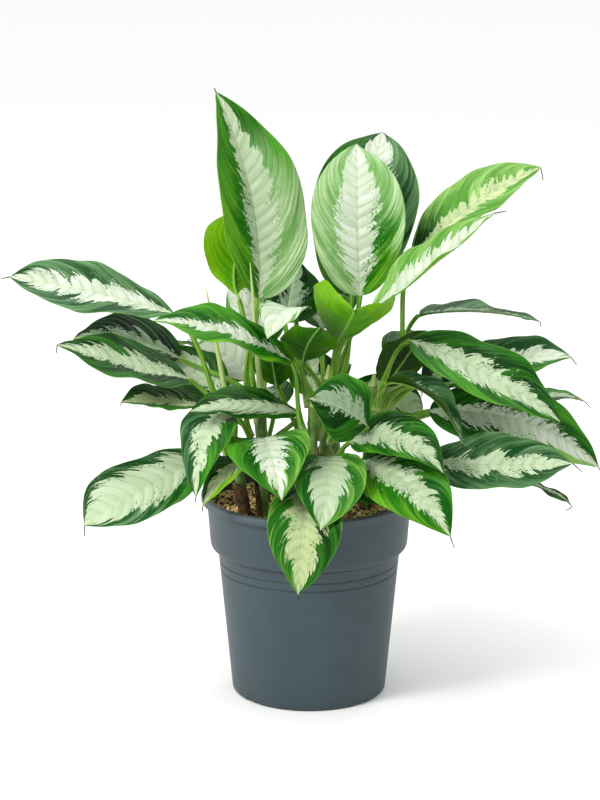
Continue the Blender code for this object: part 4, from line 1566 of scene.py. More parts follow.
@dataclass
class FineLeaf:
    """A leaf in full: a waved blade puckered between its veins, on a grooved stalk."""

    name: str
    shape: LeafShape
    look: LeafLook
    number: int
    pucker: float = 0.024
    frill: float = 0.7
    swell: float = 0.036
    blade_half: float = 0.42
    edge_half: float = 0.28
    rib_width: float = 1.9
    rib_groove: float = 0.5
    neck: float = 4.0
    vein_start: float = 17.0
    left_start: float = 40.0
    frills: float = 5.0
    swells: float = 2.6
    neck_share: float = 0.06
    slimming: float = 0.45
    flat_rib: float = 0.08
    groove_half: float = 0.42
    groove_depths: Pair = (0.34, 0.24)

    def __post_init__(self) -> None:
        """Works out the blade's length and how many lateral veins fit on it."""
        points = [self.shape.rib_point(step / 20.0) for step in range(21)]
        self.length = sum((after - before).length for before, after in zip(points, points[1:]))
        self.vein_count = max(5, round(self.length / VEIN_SPACING))
        self.broad = self.shape.leaf.width / 2.0

    def vein_place(self, t: float, across: float) -> float:
        """Numbers the lateral veins, which leave the midrib and arch towards the tip.

        Args:
            t: The share of the way along.
            across: From 1 at the left margin to -1 at the right one.

        Returns:
            The vein's number with its share of the way to the next.
        """
        out = abs(across)
        forward = (0.45 * out + out**3) * self.broad / self.length
        return (min(t, 1.0) - forward) * self.vein_count

    def relief(self, t: float, across: float) -> float:
        """Raises the blade between its veins and frills its margin.

        Args:
            t: The share of the way along.
            across: From 1 at the left margin to -1 at the right one.

        Returns:
            The height added to the middle surface.
        """
        if t >= 1.0:
            return 0.0
        out = abs(across)
        ends = min(1.0, 6.0 * t, 8.0 * (1.0 - t))
        between = abs(math.sin(math.pi * self.vein_place(t, across))) ** 0.8 - 0.6
        quilt = self.pucker * self.broad * between
        quilt *= math.sin(math.pi * min(1.0, out * 1.1 + 0.04)) ** 0.6
        lag = 2.0 * self.shape.phase + (2.0 if across > 0 else 0.0)
        frill = self.frill * out**4 * math.sin(math.tau * self.frills * t + lag)
        swell = self.swell * self.broad * out**1.5
        swell *= math.sin(math.tau * self.swells * t + 1.4 * lag)
        return ends * (quilt + frill + swell)

    def row(self, t: float) -> Row:
        """Makes one ring round the blade with its maps.

        Args:
            t: The share of the way along.

        Returns:
            The points, the blade map and the vein map.
        """
        shape = self.shape
        left, up = shape.blade_sides(t)
        centre = shape.rib_point(t)
        along = min(1.0, t)
        rib = RIB_THICKNESS + (RIB_TIP_THICKNESS - RIB_THICKNESS) * along
        rib += max(0.0, self.neck - rib) * max(0.0, 1.0 - t / self.neck_share)
        slim = 1.0 - self.slimming * max(0.0, t - 1.0)
        upper, lower, blade_map, vein_map = [], [], [], []
        for across in FINE_ACROSS:
            side, rise, slope = shape.section(t, across)
            reach = math.hypot(side, rise)
            rise += self.relief(t, across)
            side *= slim
            normal = up * math.cos(slope) - left * math.sin(slope)
            if abs(across) < self.flat_rib:
                normal = normal.lerp(up, 1.0 - abs(across) / self.flat_rib).normalized()
            half = self.blade_half + (self.edge_half - self.blade_half) * abs(across) ** 3
            ridge = math.exp(-((reach / self.rib_width) ** 2))
            middle = centre + left * side + up * rise
            top = half - self.rib_groove * ridge * (1.0 - along * 0.5) * slim
            upper.append(middle + normal * top)
            lower.append(middle - normal * (half + (rib - 2.0 * half) * ridge) * slim)
            blade_map.append((0.5 + 0.5 * across, t))
            vein = self.vein_place(t, across) + self.vein_start * self.number
            vein_map.append((vein, reach / 10.0 + (self.left_start if across > 0 else 0.0)))
        return upper + lower[::-1], blade_map + blade_map[::-1], vein_map + vein_map[::-1]

    def stalk_row(self, t: float) -> Row:
        """Makes one ring round the stalk, grooved on its upper side.

        Args:
            t: The share of the way along.

        Returns:
            The points, the blade map and the vein map.
        """
        left, up = self.shape.stalk_sides(t)
        half = self.shape.stalk_half(t)
        centre = self.shape.stalk_point(t)
        ring, places = [], []
        for place in range(FINE_RING):
            turn = math.tau * (place + 0.5) / FINE_RING
            groove = math.exp(-(((turn - math.pi / 2.0) / self.groove_half) ** 2))
            depth = self.groove_depths[0 if t < SHEATH_SHARE else 1]
            radius = half * (1.0 - depth * groove)
            ring.append(centre + left * (radius * math.cos(turn)) + up * (radius * math.sin(turn)))
            places.append((place / FINE_RING, t))
        return ring, places, places

    def build(self, materials: Sequence[bpy.types.Material]) -> bpy.types.Object:
        """Builds the leaf as one closed piece.

        Args:
            materials: The upper side, the underside and the stalk.

        Returns:
            The object.
        """
        piece = Piece(f"leaf_{self.name}_fine")
        shares = (0.97 * step / (FINE_STALK_ROWS - 1) for step in range(FINE_STALK_ROWS))
        rows = [self.stalk_row(share) for share in shares]
        blade = list(FINE_BASE_ROWS)
        blade += [0.01 + 0.99 * (step / FINE_BLADE_ROWS) for step in range(FINE_BLADE_ROWS + 1)]
        rows += [self.row(t) for t in blade + list(FINE_DRIP_ROWS)]
        for points, blade_map, vein_map in rows:
            piece.points.extend(points)
            piece.blade_map.extend(blade_map)
            piece.vein_map.extend(vein_map)
        wide = len(FINE_ACROSS)
        for end in (0, len(rows) - 1):
            first = end * FINE_RING
            for place in range(wide - 1):
                face = (place, place + 1, FINE_RING - 2 - place, FINE_RING - 1 - place)
                turned = face[::-1] if end == 0 else face
                piece.faces.append(tuple(first + corner for corner in turned))
                piece.slots.append(2 if end == 0 else 0)
        for row in range(len(rows) - 1):
            low = row * FINE_RING
            for place in range(FINE_RING):
                after = (place + 1) % FINE_RING
                high = low + FINE_RING
                piece.faces.append((low + place, low + after, high + after, high + place))
                on_top = place < wide - 1 or place == FINE_RING - 1
                piece.slots.append(2 if row < FINE_STALK_ROWS else (0 if on_top else 1))
        return piece.finish(materials, [f"leaf_{self.name}"])


@dataclass
class FineStem:
    """A ringed cane with old husks at its foot and a rolled new leaf at its top."""

    name: str
    stem: Stem
    sides: int = 24
    row_step: float = 1.6
    seam: float = 0.16
    husks: int = 3
    scar_half: float = 0.13
    husk_sunk: float = 4.0
    husk_step: float = 9.0
    husk_tall: Pair = (24.0, 44.0)
    husk_spread: Pair = (1.5, 2.2)
    husk_cells: int = 12

    def radius(self, share: float, count: int) -> float:
        """Gives the cane's radius, with narrow rings where old leaves grew.

        Args:
            share: The share of the way up.
            count: How many half spacings the cane has.

        Returns:
            The radius.
        """
        ring = share * count
        from_scar = abs(ring - (2.0 * math.floor(ring / 2.0) + 1.0))
        scar = math.exp(-((from_scar / self.scar_half) ** 2))
        return self.stem.radius * (1.0 - STEM_TAPER * share) + SCAR_RISE * scar

    def spear_radius(self, share: float, start: float) -> float:
        """Gives the rolled leaf's radius.

        Args:
            share: The share of the way up it.
            start: The radius at its foot.

        Returns:
            The radius.
        """
        known = [(0.0, start), *SPEAR_RINGS]
        for (low, wide), (high, narrow) in zip(known, known[1:]):
            if share <= high:
                return wide + (narrow - wide) * (share - low) / (high - low)
        return SPEAR_RINGS[-1][1]

    def build(self, materials: Sequence[bpy.types.Material]) -> bpy.types.Object:
        """Builds the cane, its rolled leaf and its husks.

        Args:
            materials: The cane, the new leaf and the husks.

        Returns:
            The object.
        """
        piece = Piece(f"stem_{self.name}_fine")
        start, top = stem_line(self.stem, STEM_DEPTH)
        count = scar_rings(start, top)
        rows = max(8, round((top - start).length / self.row_step))
        shares = [row / rows for row in range(rows + 1)]
        rings = [(start.lerp(top, share), self.radius(share, count), 0.0) for share in shares]
        spear = Vector(self.stem.spear)
        steps = max(6, round((spear - top).length / 3.0))
        base = rings[-1][1]
        for step in range(1, steps + 1):
            share = step / steps
            rings.append((top.lerp(spear, share), self.spear_radius(share, base), share))
        points = []
        for centre, radius, rolled in rings:
            for side in range(self.sides):
                turn = math.tau * side / self.sides
                roll = ((turn / (math.tau) + 1.6 * rolled) % 1.0) * self.seam if rolled else 0.0
                wide = radius * (1.0 - roll)
                points.append(centre + Vector((wide * math.cos(turn), wide * math.sin(turn), 0.0)))
        piece.add(points, capped_faces(len(rings), self.sides))
        first_spear = 1 + rows * self.sides
        for number in range(first_spear, len(piece.slots)):
            piece.slots[number] = 1
        for husk in range(self.husks):
            self.add_husk(piece, husk)
        return piece.finish(materials, [f"stem_{self.name}"])

    def add_husk(self, piece: Piece, husk: int) -> None:
        """Adds one dry leaf sheath that hugs the foot of the cane.

        Args:
            piece: The stem's piece.
            husk: Which husk it is, from the lowest.
        """
        rng = random.Random(f"{self.name}{husk}")
        foot, top = stem_line(self.stem)
        along = (top - foot).normalized()
        low = foot - along * self.husk_sunk + along * (self.husk_step * husk)
        tall = rng.uniform(*self.husk_tall)
        bearing = rng.uniform(0.0, math.tau)
        spread = rng.uniform(*self.husk_spread)
        rows = columns = self.husk_cells
        outer, inner = [], []
        for row in range(rows + 1):
            up = row / rows
            centre = low + along * (tall * up)
            for column in range(columns + 1):
                side = 2.0 * column / columns - 1.0
                narrow = 1.0 - 0.75 * up * up
                turn = bearing + spread * side * narrow
                place = Vector((husk * 5.0 + side * 2.0, up * 6.0, self.stem.radius))
                ragged = 0.5 * noise.noise(place)
                away = self.stem.radius * (1.0 - STEM_TAPER * 0.3) + 1.0
                away += 2.6 * up * up + ragged + 0.25 * husk
                for thick, ring in ((0.25, outer), (-0.25, inner)):
                    reach = away + thick
                    offset = Vector((reach * math.cos(turn), reach * math.sin(turn), 0.0))
                    ring.append(centre + offset)
        piece.add(*sheet_between(outer, inner, rows, columns), slot=2)


def sheet_between(
    outer: list[Vector], inner: list[Vector], rows: int, columns: int
) -> tuple[list[Vector], list[Face]]:
    """Joins two grids of points into one thin closed sheet.

    Args:
        outer: The outer side's points, row by row.
        inner: The inner side's points, row by row.
        rows: The number of rows of faces.
        columns: The number of faces in a row.

    Returns:
        The points and the faces.
    """
    wide = columns + 1
    back = len(outer)
    faces: list[Face] = []
    for row in range(rows):
        for column in range(columns):
            a = row * wide + column
            faces.append((a, a + 1, a + wide + 1, a + wide))
            faces.append((back + a, back + a + wide, back + a + wide + 1, back + a + 1))
    for row in range(rows):
        low, high = row * wide, (row + 1) * wide
        for a, b in ((low, high), (high + columns, low + columns)):
            faces.append((a, b, back + b, back + a))
    for column in range(columns):
        for a, b in ((column + 1, column), (rows * wide + column, rows * wide + column + 1)):
            faces.append((a, b, back + b, back + a))
    return outer + inner, faces


def lathe(profile: Sequence[Pair], sides: int) -> Shell:
    """Turns a closed profile of radius and height, which starts and ends on the axis, round Z.

    Args:
        profile: The profile.
        sides: The points of a ring.

    Returns:
        The points and the faces.
    """
    points: list[Point] = [(0.0, 0.0, profile[0][1]), (0.0, 0.0, profile[-1][1])]
    inner = profile[1:-1]
    for radius, height in inner:
        for side in range(sides):
            turn = math.tau * side / sides
            points.append((radius * math.cos(turn), radius * math.sin(turn), height))
    faces: list[Face] = []
    last = 2 + (len(inner) - 1) * sides
    for side in range(sides):
        after = (side + 1) % sides
        faces.append((0, 2 + after, 2 + side))
        faces.append((1, last + side, last + after))
        for ring in range(len(inner) - 1):
            low = 2 + ring * sides
            high = low + sides
            faces.append((low + side, low + after, high + after, high + side))
    return points, faces


def rounded(profile: Sequence[tuple[float, float, float]], steps: int = 4) -> list[Pair]:
    """Rounds a profile's corners.

    Args:
        profile: Radius, height and corner radius of each point.
        steps: The points of a round corner, less one.

    Returns:
        The profile's points.
    """
    made: list[Pair] = []
    for number, (radius, height, corner) in enumerate(profile):
        here = Vector((radius, height))
        if corner <= 0.0 or number in (0, len(profile) - 1):
            made.append((radius, height))
            continue
        before = Vector(profile[number - 1][:2]) - here
        after = Vector(profile[number + 1][:2]) - here
        cut = min(corner, before.length * 0.45, after.length * 0.45)
        start = here + before.normalized() * cut
        end = here + after.normalized() * cut
        for step in range(steps + 1):
            t = step / steps
            point = start * (1 - t) ** 2 + here * (2 * t * (1 - t)) + end * t**2
            made.append((point.x, point.y))
    return made


@dataclass
class NurseryPot:
    """The plastic pot with its banded wall, rolled lip, foot ring and drain holes."""

    sides: int = 160
    drain_holes: int = 6
    drain_radius: float = 6.0
    drain_circle: float = 48.0
    notches: int = 4
    notch_size: Pair = (20.0, 3.0)
    notch_bearing: float = 48.0

    def body_radius(self, height: float) -> float:
        """Gives the outer radius of the tapered body below the band."""
        share = (height - CORNER) / (STEP_FOOT - CORNER)
        return BODY_FOOT_RADIUS + (STEP_RADIUS - BODY_FOOT_RADIUS) * share

    def profile(self) -> list[Pair]:
        """Draws the pot's section with rounded corners.

        Returns:
            Radius and height of each point.
        """
        ring_inner, ring_outer = FOOT_RING
        lip_foot = POT_HEIGHT - LIP_HEIGHT
        points: list[tuple[float, float, float]] = [
            (0.0, 0.0, 0.0),
            (CENTRE_PAD_RADIUS, 0.0, 0.6),
            (CENTRE_PAD_RADIUS + ARCH_SLOPE, ARCH_HEIGHT, 0.8),
            (ring_inner - ARCH_SLOPE, ARCH_HEIGHT, 0.8),
            (ring_inner, 0.0, 0.6),
            (ring_outer, 0.0, 0.6),
            (BODY_FOOT_RADIUS - 0.6, 0.6, 7.0),
        ]
        for groove in reversed(GROOVES):
            for rise, depth in ((-GROOVE_HALF, 0.0), (0.0, GROOVE_DEPTH), (GROOVE_HALF, 0.0)):
                height = groove + rise
                points.append((self.body_radius(height) - depth, height, 0.7))
        points += [
            (STEP_RADIUS, STEP_FOOT, 1.6),
            (BAND_FOOT_RADIUS - 1.2, BAND_FOOT - 5.0, 4.0),
            (BAND_FOOT_RADIUS, BAND_FOOT, 2.0),
            (BAND_TOP_RADIUS, lip_foot - 0.6, 1.2),
            (LIP_RADIUS, lip_foot, 2.4),
            (LIP_RADIUS, POT_HEIGHT, 2.4),
            (BAND_TOP_RADIUS, POT_HEIGHT, 1.2),
            (BAND_TOP_RADIUS - WALL, lip_foot, 0.8),
            (BAND_FOOT_RADIUS - WALL, BAND_FOOT + WALL, 2.0),
            (STEP_RADIUS - WALL, STEP_FOOT - WALL, 2.0),
            (BODY_FOOT_RADIUS - WALL, FLOOR_TOP, 5.0),
            (0.0, FLOOR_TOP, 0.0),
        ]
        return rounded(points)

    def cutters(self) -> list[bpy.types.Object]:
        """Makes the drain holes' posts and the foot notches' blocks.

        Returns:
            The cutters.
        """
        made = []
        for hole in range(self.drain_holes):
            turn = math.tau * (hole + 0.5) / self.drain_holes
            low, high = -2.0, FLOOR_TOP + 2.0
            post = [(0.0, low), (self.drain_radius, low), (self.drain_radius, high), (0.0, high)]
            points, faces = lathe(post, 32)
            x, y = self.drain_circle * math.cos(turn), self.drain_circle * math.sin(turn)
            made.append(self.cutter([(px + x, py + y, pz) for px, py, pz in points], faces))
        wide, high = self.notch_size
        for notch in range(self.notches):
            turn = math.radians(360.0 * notch / self.notches - self.notch_bearing - 90.0)
            corners = []
            for radius in (FOOT_RING[0] - 2.0 * ARCH_SLOPE, FOOT_RING[1] + CORNER):
                for side in (-wide / 2, wide / 2):
                    for level in (-2.0, high):
                        x = radius * math.cos(turn) - side * math.sin(turn)
                        y = radius * math.sin(turn) + side * math.cos(turn)
                        corners.append((x, y, level))
            faces = [
                (0, 1, 3, 2), (4, 6, 7, 5), (0, 4, 5, 1), (2, 3, 7, 6), (0, 2, 6, 4), (1, 5, 7, 3),
            ]
            made.append(self.cutter(corners, faces))
        return made

    def cutter(self, points: Sequence[Sequence[float]], faces: Sequence[Face]) -> bpy.types.Object:
        """Makes one cutter.

        Args:
            points: Its points.
            faces: Its faces.

        Returns:
            The cutter.
        """
        mesh = new_mesh("cutter", points, faces)
        shape = bmesh.new()
        shape.from_mesh(mesh)
        bmesh.ops.recalc_face_normals(shape, faces=shape.faces)
        shape.to_mesh(mesh)
        shape.free()
        return add_object("cutter", mesh)

    def build(self) -> bpy.types.Object:
        """Builds the pot.

        Returns:
            The object.
        """
        piece = Piece("pot_fine")
        piece.add(*lathe(self.profile(), self.sides))
        made = piece.finish([PotFinish().material()], ["pot"])
        for tool in self.cutters():
            step = made.modifiers.new("cut", "BOOLEAN")
            step.operation = "DIFFERENCE"
            step.solver = "MANIFOLD"
            step.object = tool
            bpy.context.view_layer.objects.active = made
            bpy.ops.object.modifier_apply(modifier=step.name)
            bpy.data.objects.remove(tool, do_unlink=True)
        made.data.set_sharp_from_angle(angle=math.radians(50.0))
        return made


CRUMB_POINTS = (
    (0.0, 0.0, 1.0), (0.94, 0.0, 0.3), (0.29, 0.9, 0.3), (-0.76, 0.55, 0.3),
    (-0.76, -0.55, 0.3), (0.29, -0.9, 0.3), (0.76, 0.55, -0.3), (-0.29, 0.9, -0.3),
    (-0.94, 0.0, -0.3), (-0.29, -0.9, -0.3), (0.76, -0.55, -0.3), (0.0, 0.0, -1.0),
)
CRUMB_FACES = (
    (0, 1, 2), (0, 2, 3), (0, 3, 4), (0, 4, 5), (0, 5, 1), (1, 6, 2), (2, 6, 7), (2, 7, 3),
    (3, 7, 8), (3, 8, 4), (4, 8, 9), (4, 9, 5), (5, 9, 10), (5, 10, 1), (1, 10, 6),
    (11, 7, 6), (11, 8, 7),
    (11, 9, 8), (11, 10, 9), (11, 6, 10),
)


@dataclass
class PottingSoil:
    """The soil: a rough mound with crumbs, bark and fibres lying on it."""

    sides: int = 150
    rings: int = 56
    crumbs: int = 2600
    barks: int = 260
    fibres: int = 160
    seed: int = 7
    crumb_sizes: tuple[float, ...] = (0.7, 0.9, 1.1, 1.4, 1.9, 2.5)
    crumb_slots: tuple[int, ...] = (1, 1, 1, 2, 2, 3, 3)

    def edge_radius(self) -> float:
        """Gives the soil's radius at its top, clear of the pot's wall."""
        low, high = BAND_FOOT + WALL, POT_HEIGHT - LIP_HEIGHT
        share = (SOIL_TOP - low) / (high - low)
        inner_low, inner_high = BAND_FOOT_RADIUS - WALL, BAND_TOP_RADIUS - WALL
        return inner_low + (inner_high - inner_low) * share - GAP

    def height(self, x: float, y: float) -> float:
        """Gives the soil's height at a place.

        Args:
            x: The place to the right.
            y: The place to the back.

        Returns:
            The height.
        """
        inward = min(1.0, max(0.0, (SOIL_LEVEL_RIM - math.hypot(x, y)) / SOIL_RISE))
        first, second, third = SOIL_WAVES
        wave = math.sin(x / first + 1.0) * math.cos(y / second)
        wave += 0.6 * math.sin((x + 2.0 * y) / third)
        rough = noise.fractal(Vector((x / 7.0, y / 7.0, 0.0)), 0.8, 2.1, 4) * 1.6
        return SOIL_TOP + inward * SOIL_LUMP * wave + rough * min(1.0, 0.3 + inward)

    def body(self) -> Shell:
        """Turns the soil's section, its top roughened.

        Returns:
            The points and the faces.
        """
        edge = self.edge_radius()
        profile = [
            (0.0, FLOOR_TOP + GAP),
            (BODY_FOOT_RADIUS - WALL - CORNER / 2 - GAP, FLOOR_TOP + GAP),
            (BODY_FOOT_RADIUS - WALL - GAP, FLOOR_TOP + CORNER / 2 + GAP),
            (STEP_RADIUS - WALL - GAP, STEP_FOOT - WALL + GAP),
            (BAND_FOOT_RADIUS - WALL - GAP, BAND_FOOT + WALL + GAP),
        ]
        top = [(edge * (1.0 - step / self.rings), SOIL_TOP) for step in range(self.rings)]
        points, faces = lathe(profile + top + [(0.0, SOIL_TOP)], self.sides)
        raised = []
        for x, y, z in points:
            raised.append((x, y, self.height(x, y)) if z >= SOIL_TOP else (x, y, z))
        return raised, faces

    def add_crumb(self, piece: Piece, rng: random.Random) -> None:
        """Adds one crumb, a small dented lump.

        Args:
            piece: The soil's piece.
            rng: The draw.
        """
        away = (self.edge_radius() - 2.0) * math.sqrt(rng.random())
        turn = rng.uniform(0.0, math.tau)
        x, y = away * math.cos(turn), away * math.sin(turn)
        size = rng.choice(self.crumb_sizes) * rng.uniform(0.8, 1.2)
        squash = Vector((rng.uniform(0.7, 1.3), rng.uniform(0.7, 1.3), rng.uniform(0.5, 0.9)))
        spin = Quaternion((rng.random(), rng.random(), rng.random(), rng.random())).normalized()
        centre = Vector((x, y, self.height(x, y) + size * 0.25))
        points = []
        for corner in CRUMB_POINTS:
            dent = rng.uniform(0.75, 1.2)
            point = Vector(a * b * size * dent for a, b in zip(corner, squash))
            points.append(centre + spin @ point)
        piece.add(points, CRUMB_FACES, rng.choice(self.crumb_slots))

    def add_strip(
        self, piece: Piece, rng: random.Random, long: float, wide: float, slot: int
    ) -> None:
        """Adds a bark chip or a fibre, a bent four-sided strip.

        Args:
            piece: The soil's piece.
            rng: The draw.
            long: Its length.
            wide: Its width.
            slot: Its material slot.
        """
        away = (self.edge_radius() - long / 2.0 - 1.0) * math.sqrt(rng.random())
        turn = rng.uniform(0.0, math.tau)
        x, y = away * math.cos(turn), away * math.sin(turn)
        heading = rng.uniform(0.0, math.pi)
        bend = rng.uniform(-0.5, 0.5)
        rows = 5
        points = []
        for row in range(rows):
            share = row / (rows - 1) - 0.5
            angle = heading + bend * share
            px, py = x + long * share * math.cos(angle), y + long * share * math.sin(angle)
            pz = self.height(px, py) + 0.5 + 0.6 * math.cos(share * 5.0)
            half = wide / 2.0 * (1.0 - 1.2 * share * share)
            thick = half * 0.4
            for dx, dz in ((-half, -thick), (half, -thick), (half, thick), (-half, thick)):
                points.append((px - dx * math.sin(angle), py + dx * math.cos(angle), pz + dz))
        piece.add(points, capped_faces(rows, 4), slot)

    def build(self) -> bpy.types.Object:
        """Builds the soil.

        Returns:
            The object.
        """
        rng = random.Random(self.seed)
        piece = Piece("soil_fine")
        piece.add(*self.body())
        for _ in range(self.crumbs):
            self.add_crumb(piece, rng)
        for _ in range(self.barks):
            self.add_strip(piece, rng, rng.uniform(3.0, 8.0), rng.uniform(1.0, 2.4), 2)
        for _ in range(self.fibres):
            self.add_strip(piece, rng, rng.uniform(8.0, 18.0), rng.uniform(0.4, 0.7), 3)
        return piece.finish([earth.material() for earth in EARTHS], ["soil"])


@dataclass(frozen=True)
class Lamp:
    """One soft square light, in metres and watts."""

    name: str
    place: Point
    aim: Point
    size: float
    power: float
    colour: Point


@dataclass
class Studio:
    """The pale floor, soft lights and the camera at the photograph's angle."""

    camera_place: Point = (-0.010, -3.10, 1.13)
    camera_aim: Point = (-0.010, 0.0, 0.333)
    lens: float = 130.5
    sensor: float = 36.0
    farthest: float = 200.0
    floor_size: float = 30.0
    room_light: float = 0.16
    overhead_light: float = 1.27
    lamps: tuple[Lamp, ...] = (
        Lamp("key", (-1.7, -1.5, 2.1), (0.0, 0.0, 0.35), 0.9, 58.0, (1.0, 0.99, 0.96)),
        Lamp("fill", (2.0, -1.6, 1.3), (0.0, 0.0, 0.35), 1.6, 1.5, (0.94, 0.97, 1.0)),
        Lamp("back", (0.6, 1.6, 2.2), (0.0, 0.0, 0.4), 1.2, 14.0, (1.0, 1.0, 1.0)),
    )

    def hang(self, name: str, data: bpy.types.ID, place: Point, aim: Point) -> bpy.types.Object:
        """Hangs a light or the camera, turned to its aim.

        Args:
            name: Its name.
            data: The light or the camera.
            place: Where it hangs.
            aim: What it points at.

        Returns:
            The object.
        """
        made = add_object(name, data)
        made.location = place
        made.rotation_euler = (Vector(aim) - Vector(place)).to_track_quat("-Z", "Y").to_euler()
        return made

    def camera(self) -> None:
        """Sets up the camera."""
        data = bpy.data.cameras.new("camera")
        data.lens = self.lens
        data.sensor_width = self.sensor
        data.sensor_fit = "AUTO"
        data.clip_end = self.farthest
        bpy.context.scene.camera = self.hang("camera", data, self.camera_place, self.camera_aim)

    def light(self, lamp: Lamp) -> None:
        """Adds one light.

        Args:
            lamp: The light.
        """
        data = bpy.data.lights.new(lamp.name, "AREA")
        data.shape = "SQUARE"
        data.size = lamp.size
        data.energy = lamp.power
        data.color = lamp.colour
        self.hang(lamp.name, data, lamp.place, lamp.aim)

    def floor(self) -> None:
        """Lays the plain pale floor."""
        half = self.floor_size / 2.0
        corners = ((-half, -half), (half, -half), (half, half), (-half, half))
        mesh = bpy.data.meshes.new("floor")
        mesh.from_pydata([(x, y, FLOOR_LEVEL) for x, y in corners], [], [(0, 1, 2, 3)])
        r = Recipe("pale_floor")
        r.shade(srgb(250, 250, 250), 0.9, 0.1)
        mesh.materials.append(r.material)
        made = add_object("floor", mesh)

    def world(self) -> None:
        """Fills the room with white light, stronger from overhead."""
        made = bpy.data.worlds.new("room")
        made.use_nodes = True
        tree = made.node_tree
        place = tree.nodes.new("ShaderNodeTexCoord")
        parts = tree.nodes.new("ShaderNodeSeparateXYZ")
        strength = tree.nodes.new("ShaderNodeMapRange")
        background = tree.nodes["Background"]
        background.inputs["Color"].default_value = (1.0, 1.0, 1.0, 1.0)
        levels = (0.0, 1.0, self.room_light, self.room_light + self.overhead_light)
        for socket, number in zip(strength.inputs[1:5], levels):
            socket.default_value = number
        tree.links.new(place.outputs["Generated"], parts.inputs[0])
        tree.links.new(parts.outputs[2], strength.inputs[0])
        tree.links.new(strength.outputs[0], background.inputs["Strength"])
        bpy.context.scene.world = made

    def build(self) -> None:
        """Sets up the whole studio."""
        self.camera()
        self.floor()
        self.world()
        for lamp in self.lamps:
            self.light(lamp)
        bpy.context.scene.view_settings.view_transform = "Standard"
        LOG.info("studio set")


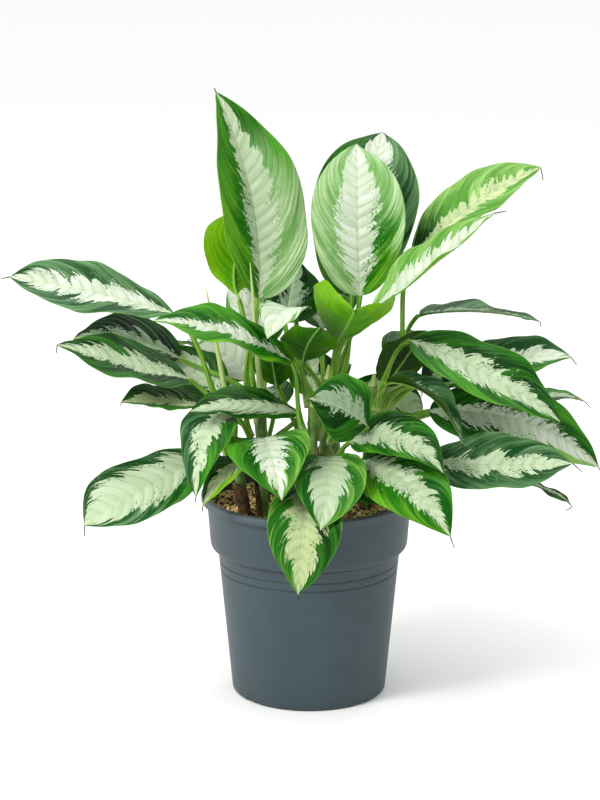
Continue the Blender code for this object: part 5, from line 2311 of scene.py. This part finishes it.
# Each leaf's margins and band are picked side by side to paint the light and shade it gets: darker
# tones on shaded sides and leaves, paler sheen tones on lit ones.
LOOKS: dict[str, LeafLook] = {
    "tall_left": LeafLook(
        Margin.BRIGHT, Margin.SHEEN_FROSTED, (0.27, 0.43), Band.PALE,
        flecks=1.0, tips=(Margin.MID, Margin.MID), turn=0.6,
    ),
    "behind_tall_left": LeafLook(under=Under.LIT),
    "tall_centre": LeafLook(
        Margin.SHEEN_FROSTED, Margin.BRIGHT, (0.46, 0.44), Band.WHITE,
        flecks=0.9, tips=(Margin.SHEEN_FROSTED, Margin.SHEEN_FROSTED),
    ),
    "behind_tall_centre": LeafLook(Margin.DARK, Margin.GREY, (0.5, 0.5), Band.WHITE),
    "upper_right_low": LeafLook(Margin.SAGE, Margin.SAGE, (0.5, 0.45), Band.WHITE, Under.LIT),
    "upper_right_high": LeafLook(
        Margin.DARK, Margin.DARK, (0.32, 0.4), Band.CREAM, Under.LIT,
        tips=(Margin.SAGE, Margin.SAGE), turn=0.08,
    ),
    "centre_cupped": LeafLook(Margin.SAGE, Margin.SAGE, (0.5, 0.5), Band.WHITE, Under.LIT),
    "right_thin": LeafLook(Margin.GREY, Margin.GREY, (0.3, 0.3), Band.GREY_IN_SHADE),
    "right_large": LeafLook(Margin.DARK, Margin.MID, (0.42, 0.5), flecks=0.9),
    "right_behind_large": LeafLook(Margin.GREY, Margin.MID, (0.45, 0.5), Band.WHITE),
    "right_far_thin": LeafLook(Margin.MID, Margin.DARK, (0.4, 0.4)),
    "right_wide": LeafLook(
        Margin.DARK, Margin.DARK, (0.26, 0.55), Band.WHITE,
        flecks=0.8, tips=(Margin.MID, Margin.SAGE),
    ),
    "right_low": LeafLook(Margin.GREY, Margin.GREY, (0.36, 0.38), flecks=0.7),
    "right_under_low": LeafLook(Margin.DARK, Margin.DARK, (0.3, 0.3)),
    "right_folded": LeafLook(Margin.GREY, Margin.DARK, (0.3, 0.3), Band.GREY_IN_SHADE, Under.DULL),
    "right_inner": LeafLook(Margin.SHADE, Margin.SHADE, (0.2, 0.3), Band.GREY_IN_SHADE, Under.DULL),
    "right_inner_underside": LeafLook(under=Under.DULL),
    "right_inner_pale": LeafLook(Margin.MID, Margin.MID, (0.7, 0.7)),
    "low_right_small": LeafLook(Margin.DARK, Margin.MID, (0.38, 0.6), Band.PALE_IN_SHADE),
    "low_right_large": LeafLook(Margin.MID, Margin.BRIGHT, (0.36, 0.38), flecks=0.7),
    "low_right_inner": LeafLook(Margin.GREY, Margin.DARK, (0.5, 0.5)),
    "front_hanging": LeafLook(Margin.DARK, Margin.FRESH, (0.5, 0.5), Band.CREAM_IN_SHADE),
    "front_left": LeafLook(Margin.FRESH, Margin.MID, (0.44, 0.4), Band.WHITE, flecks=0.5),
    "front_right": LeafLook(Margin.FRESH, Margin.MID, (0.5, 0.5), Band.PALE_IN_SHADE),
    "left_drooping": LeafLook(Margin.MID, Margin.GREY, (0.36, 0.38), flecks=0.8),
    "left_under": LeafLook(Margin.YELLOW, Margin.DARK, (0.5, 0.4), Band.CREAM),
    "low_left": LeafLook(
        Margin.MID, Margin.GREY, (0.6, 0.72), Band.PALE, flecks=0.6, tips=(Margin.GREY, Margin.GREY)
    ),
    "left_middle": LeafLook(Margin.MID, Margin.DARK, (0.7, 0.28), flecks=0.8),
    "left_behind_middle": LeafLook(Margin.MID, Margin.DARK, (0.55, 0.32), Band.CREAM, flecks=0.6),
    "left_long_low": LeafLook(Margin.DARK, Margin.DARK, (0.24, 0.5), Band.PALE, flecks=0.6),
    "left_long_behind": LeafLook(Margin.SHADE, Margin.SHADE, (0.4, 0.4), Band.GREY_IN_SHADE, flecks=2.0),
    "left_long_high": LeafLook(Margin.GREY, Margin.GREY, (0.5, 0.46), Band.WHITE, flecks=0.7),
    "centre_left": LeafLook(Margin.BRIGHT, Margin.MID, (0.34, 0.28), Band.WHITE),
    "centre_pale": LeafLook(Margin.SAGE, Margin.SAGE, (1.0, 0.9), Band.WHITE),
    "centre_underside": LeafLook(under=Under.GREEN),
    "centre_round": LeafLook(under=Under.GREEN),
    "centre_twisted": LeafLook(Margin.DARK, Margin.MID, (0.16, 0.5), Band.GREY_IN_SHADE, flecks=0.8),
    "rear_left_pale": LeafLook(Margin.MID, Margin.SAGE, (0.8, 0.8), Band.WHITE),
    "rear_left_crinkled": LeafLook(Margin.DARK, Margin.DARK, (0.5, 0.5), flecks=1.0),
    "rear_upper_dark": LeafLook(Margin.SHADE, Margin.SHADE, (0.42, 0.42), Band.GREY_IN_SHADE, flecks=2.0),
    "rear_upper_pale": LeafLook(Margin.SAGE, Margin.MID, (0.7, 0.7), Band.WHITE),
    "rear_centre": LeafLook(Margin.DARK, Margin.SHADE, (0.4, 0.4)),
}


def build_leaves() -> None:
    """Routes the stalks and builds every leaf in its colours."""
    shapes = {name: LeafShape(name, leaf) for name, leaf in LEAVES.items()}
    StalkRouter(shapes).route()
    undersides = {
        under: GreenFinish(under.name.lower(), under.value).underside() for under in Under
    }
    stalk = GreenFinish("petiole", PETIOLE).stalk()
    for number, (name, shape) in enumerate(shapes.items()):
        look = LOOKS.get(name, LeafLook(Margin.DARK, Margin.MID))
        leaf = FineLeaf(name, shape, look, number)
        leaf.build([LeafFinish(name, look, leaf.broad).upper(), undersides[look.under], stalk])


def build_stems() -> None:
    """Builds every cane."""
    materials = [CANE.material(), GreenFinish("new_leaf", NEW_LEAF).stalk(), HUSK.material()]
    for name, stem in STEMS.items():
        FineStem(name, stem).build(materials)


def main() -> None:
    """Builds the plant piece by piece, then the studio."""
    logging.basicConfig(level=logging.INFO, format="%(message)s")
    NurseryPot().build()
    PottingSoil().build()
    build_stems()
    build_leaves()
    Studio().build()


if __name__ == "__main__":
    main()
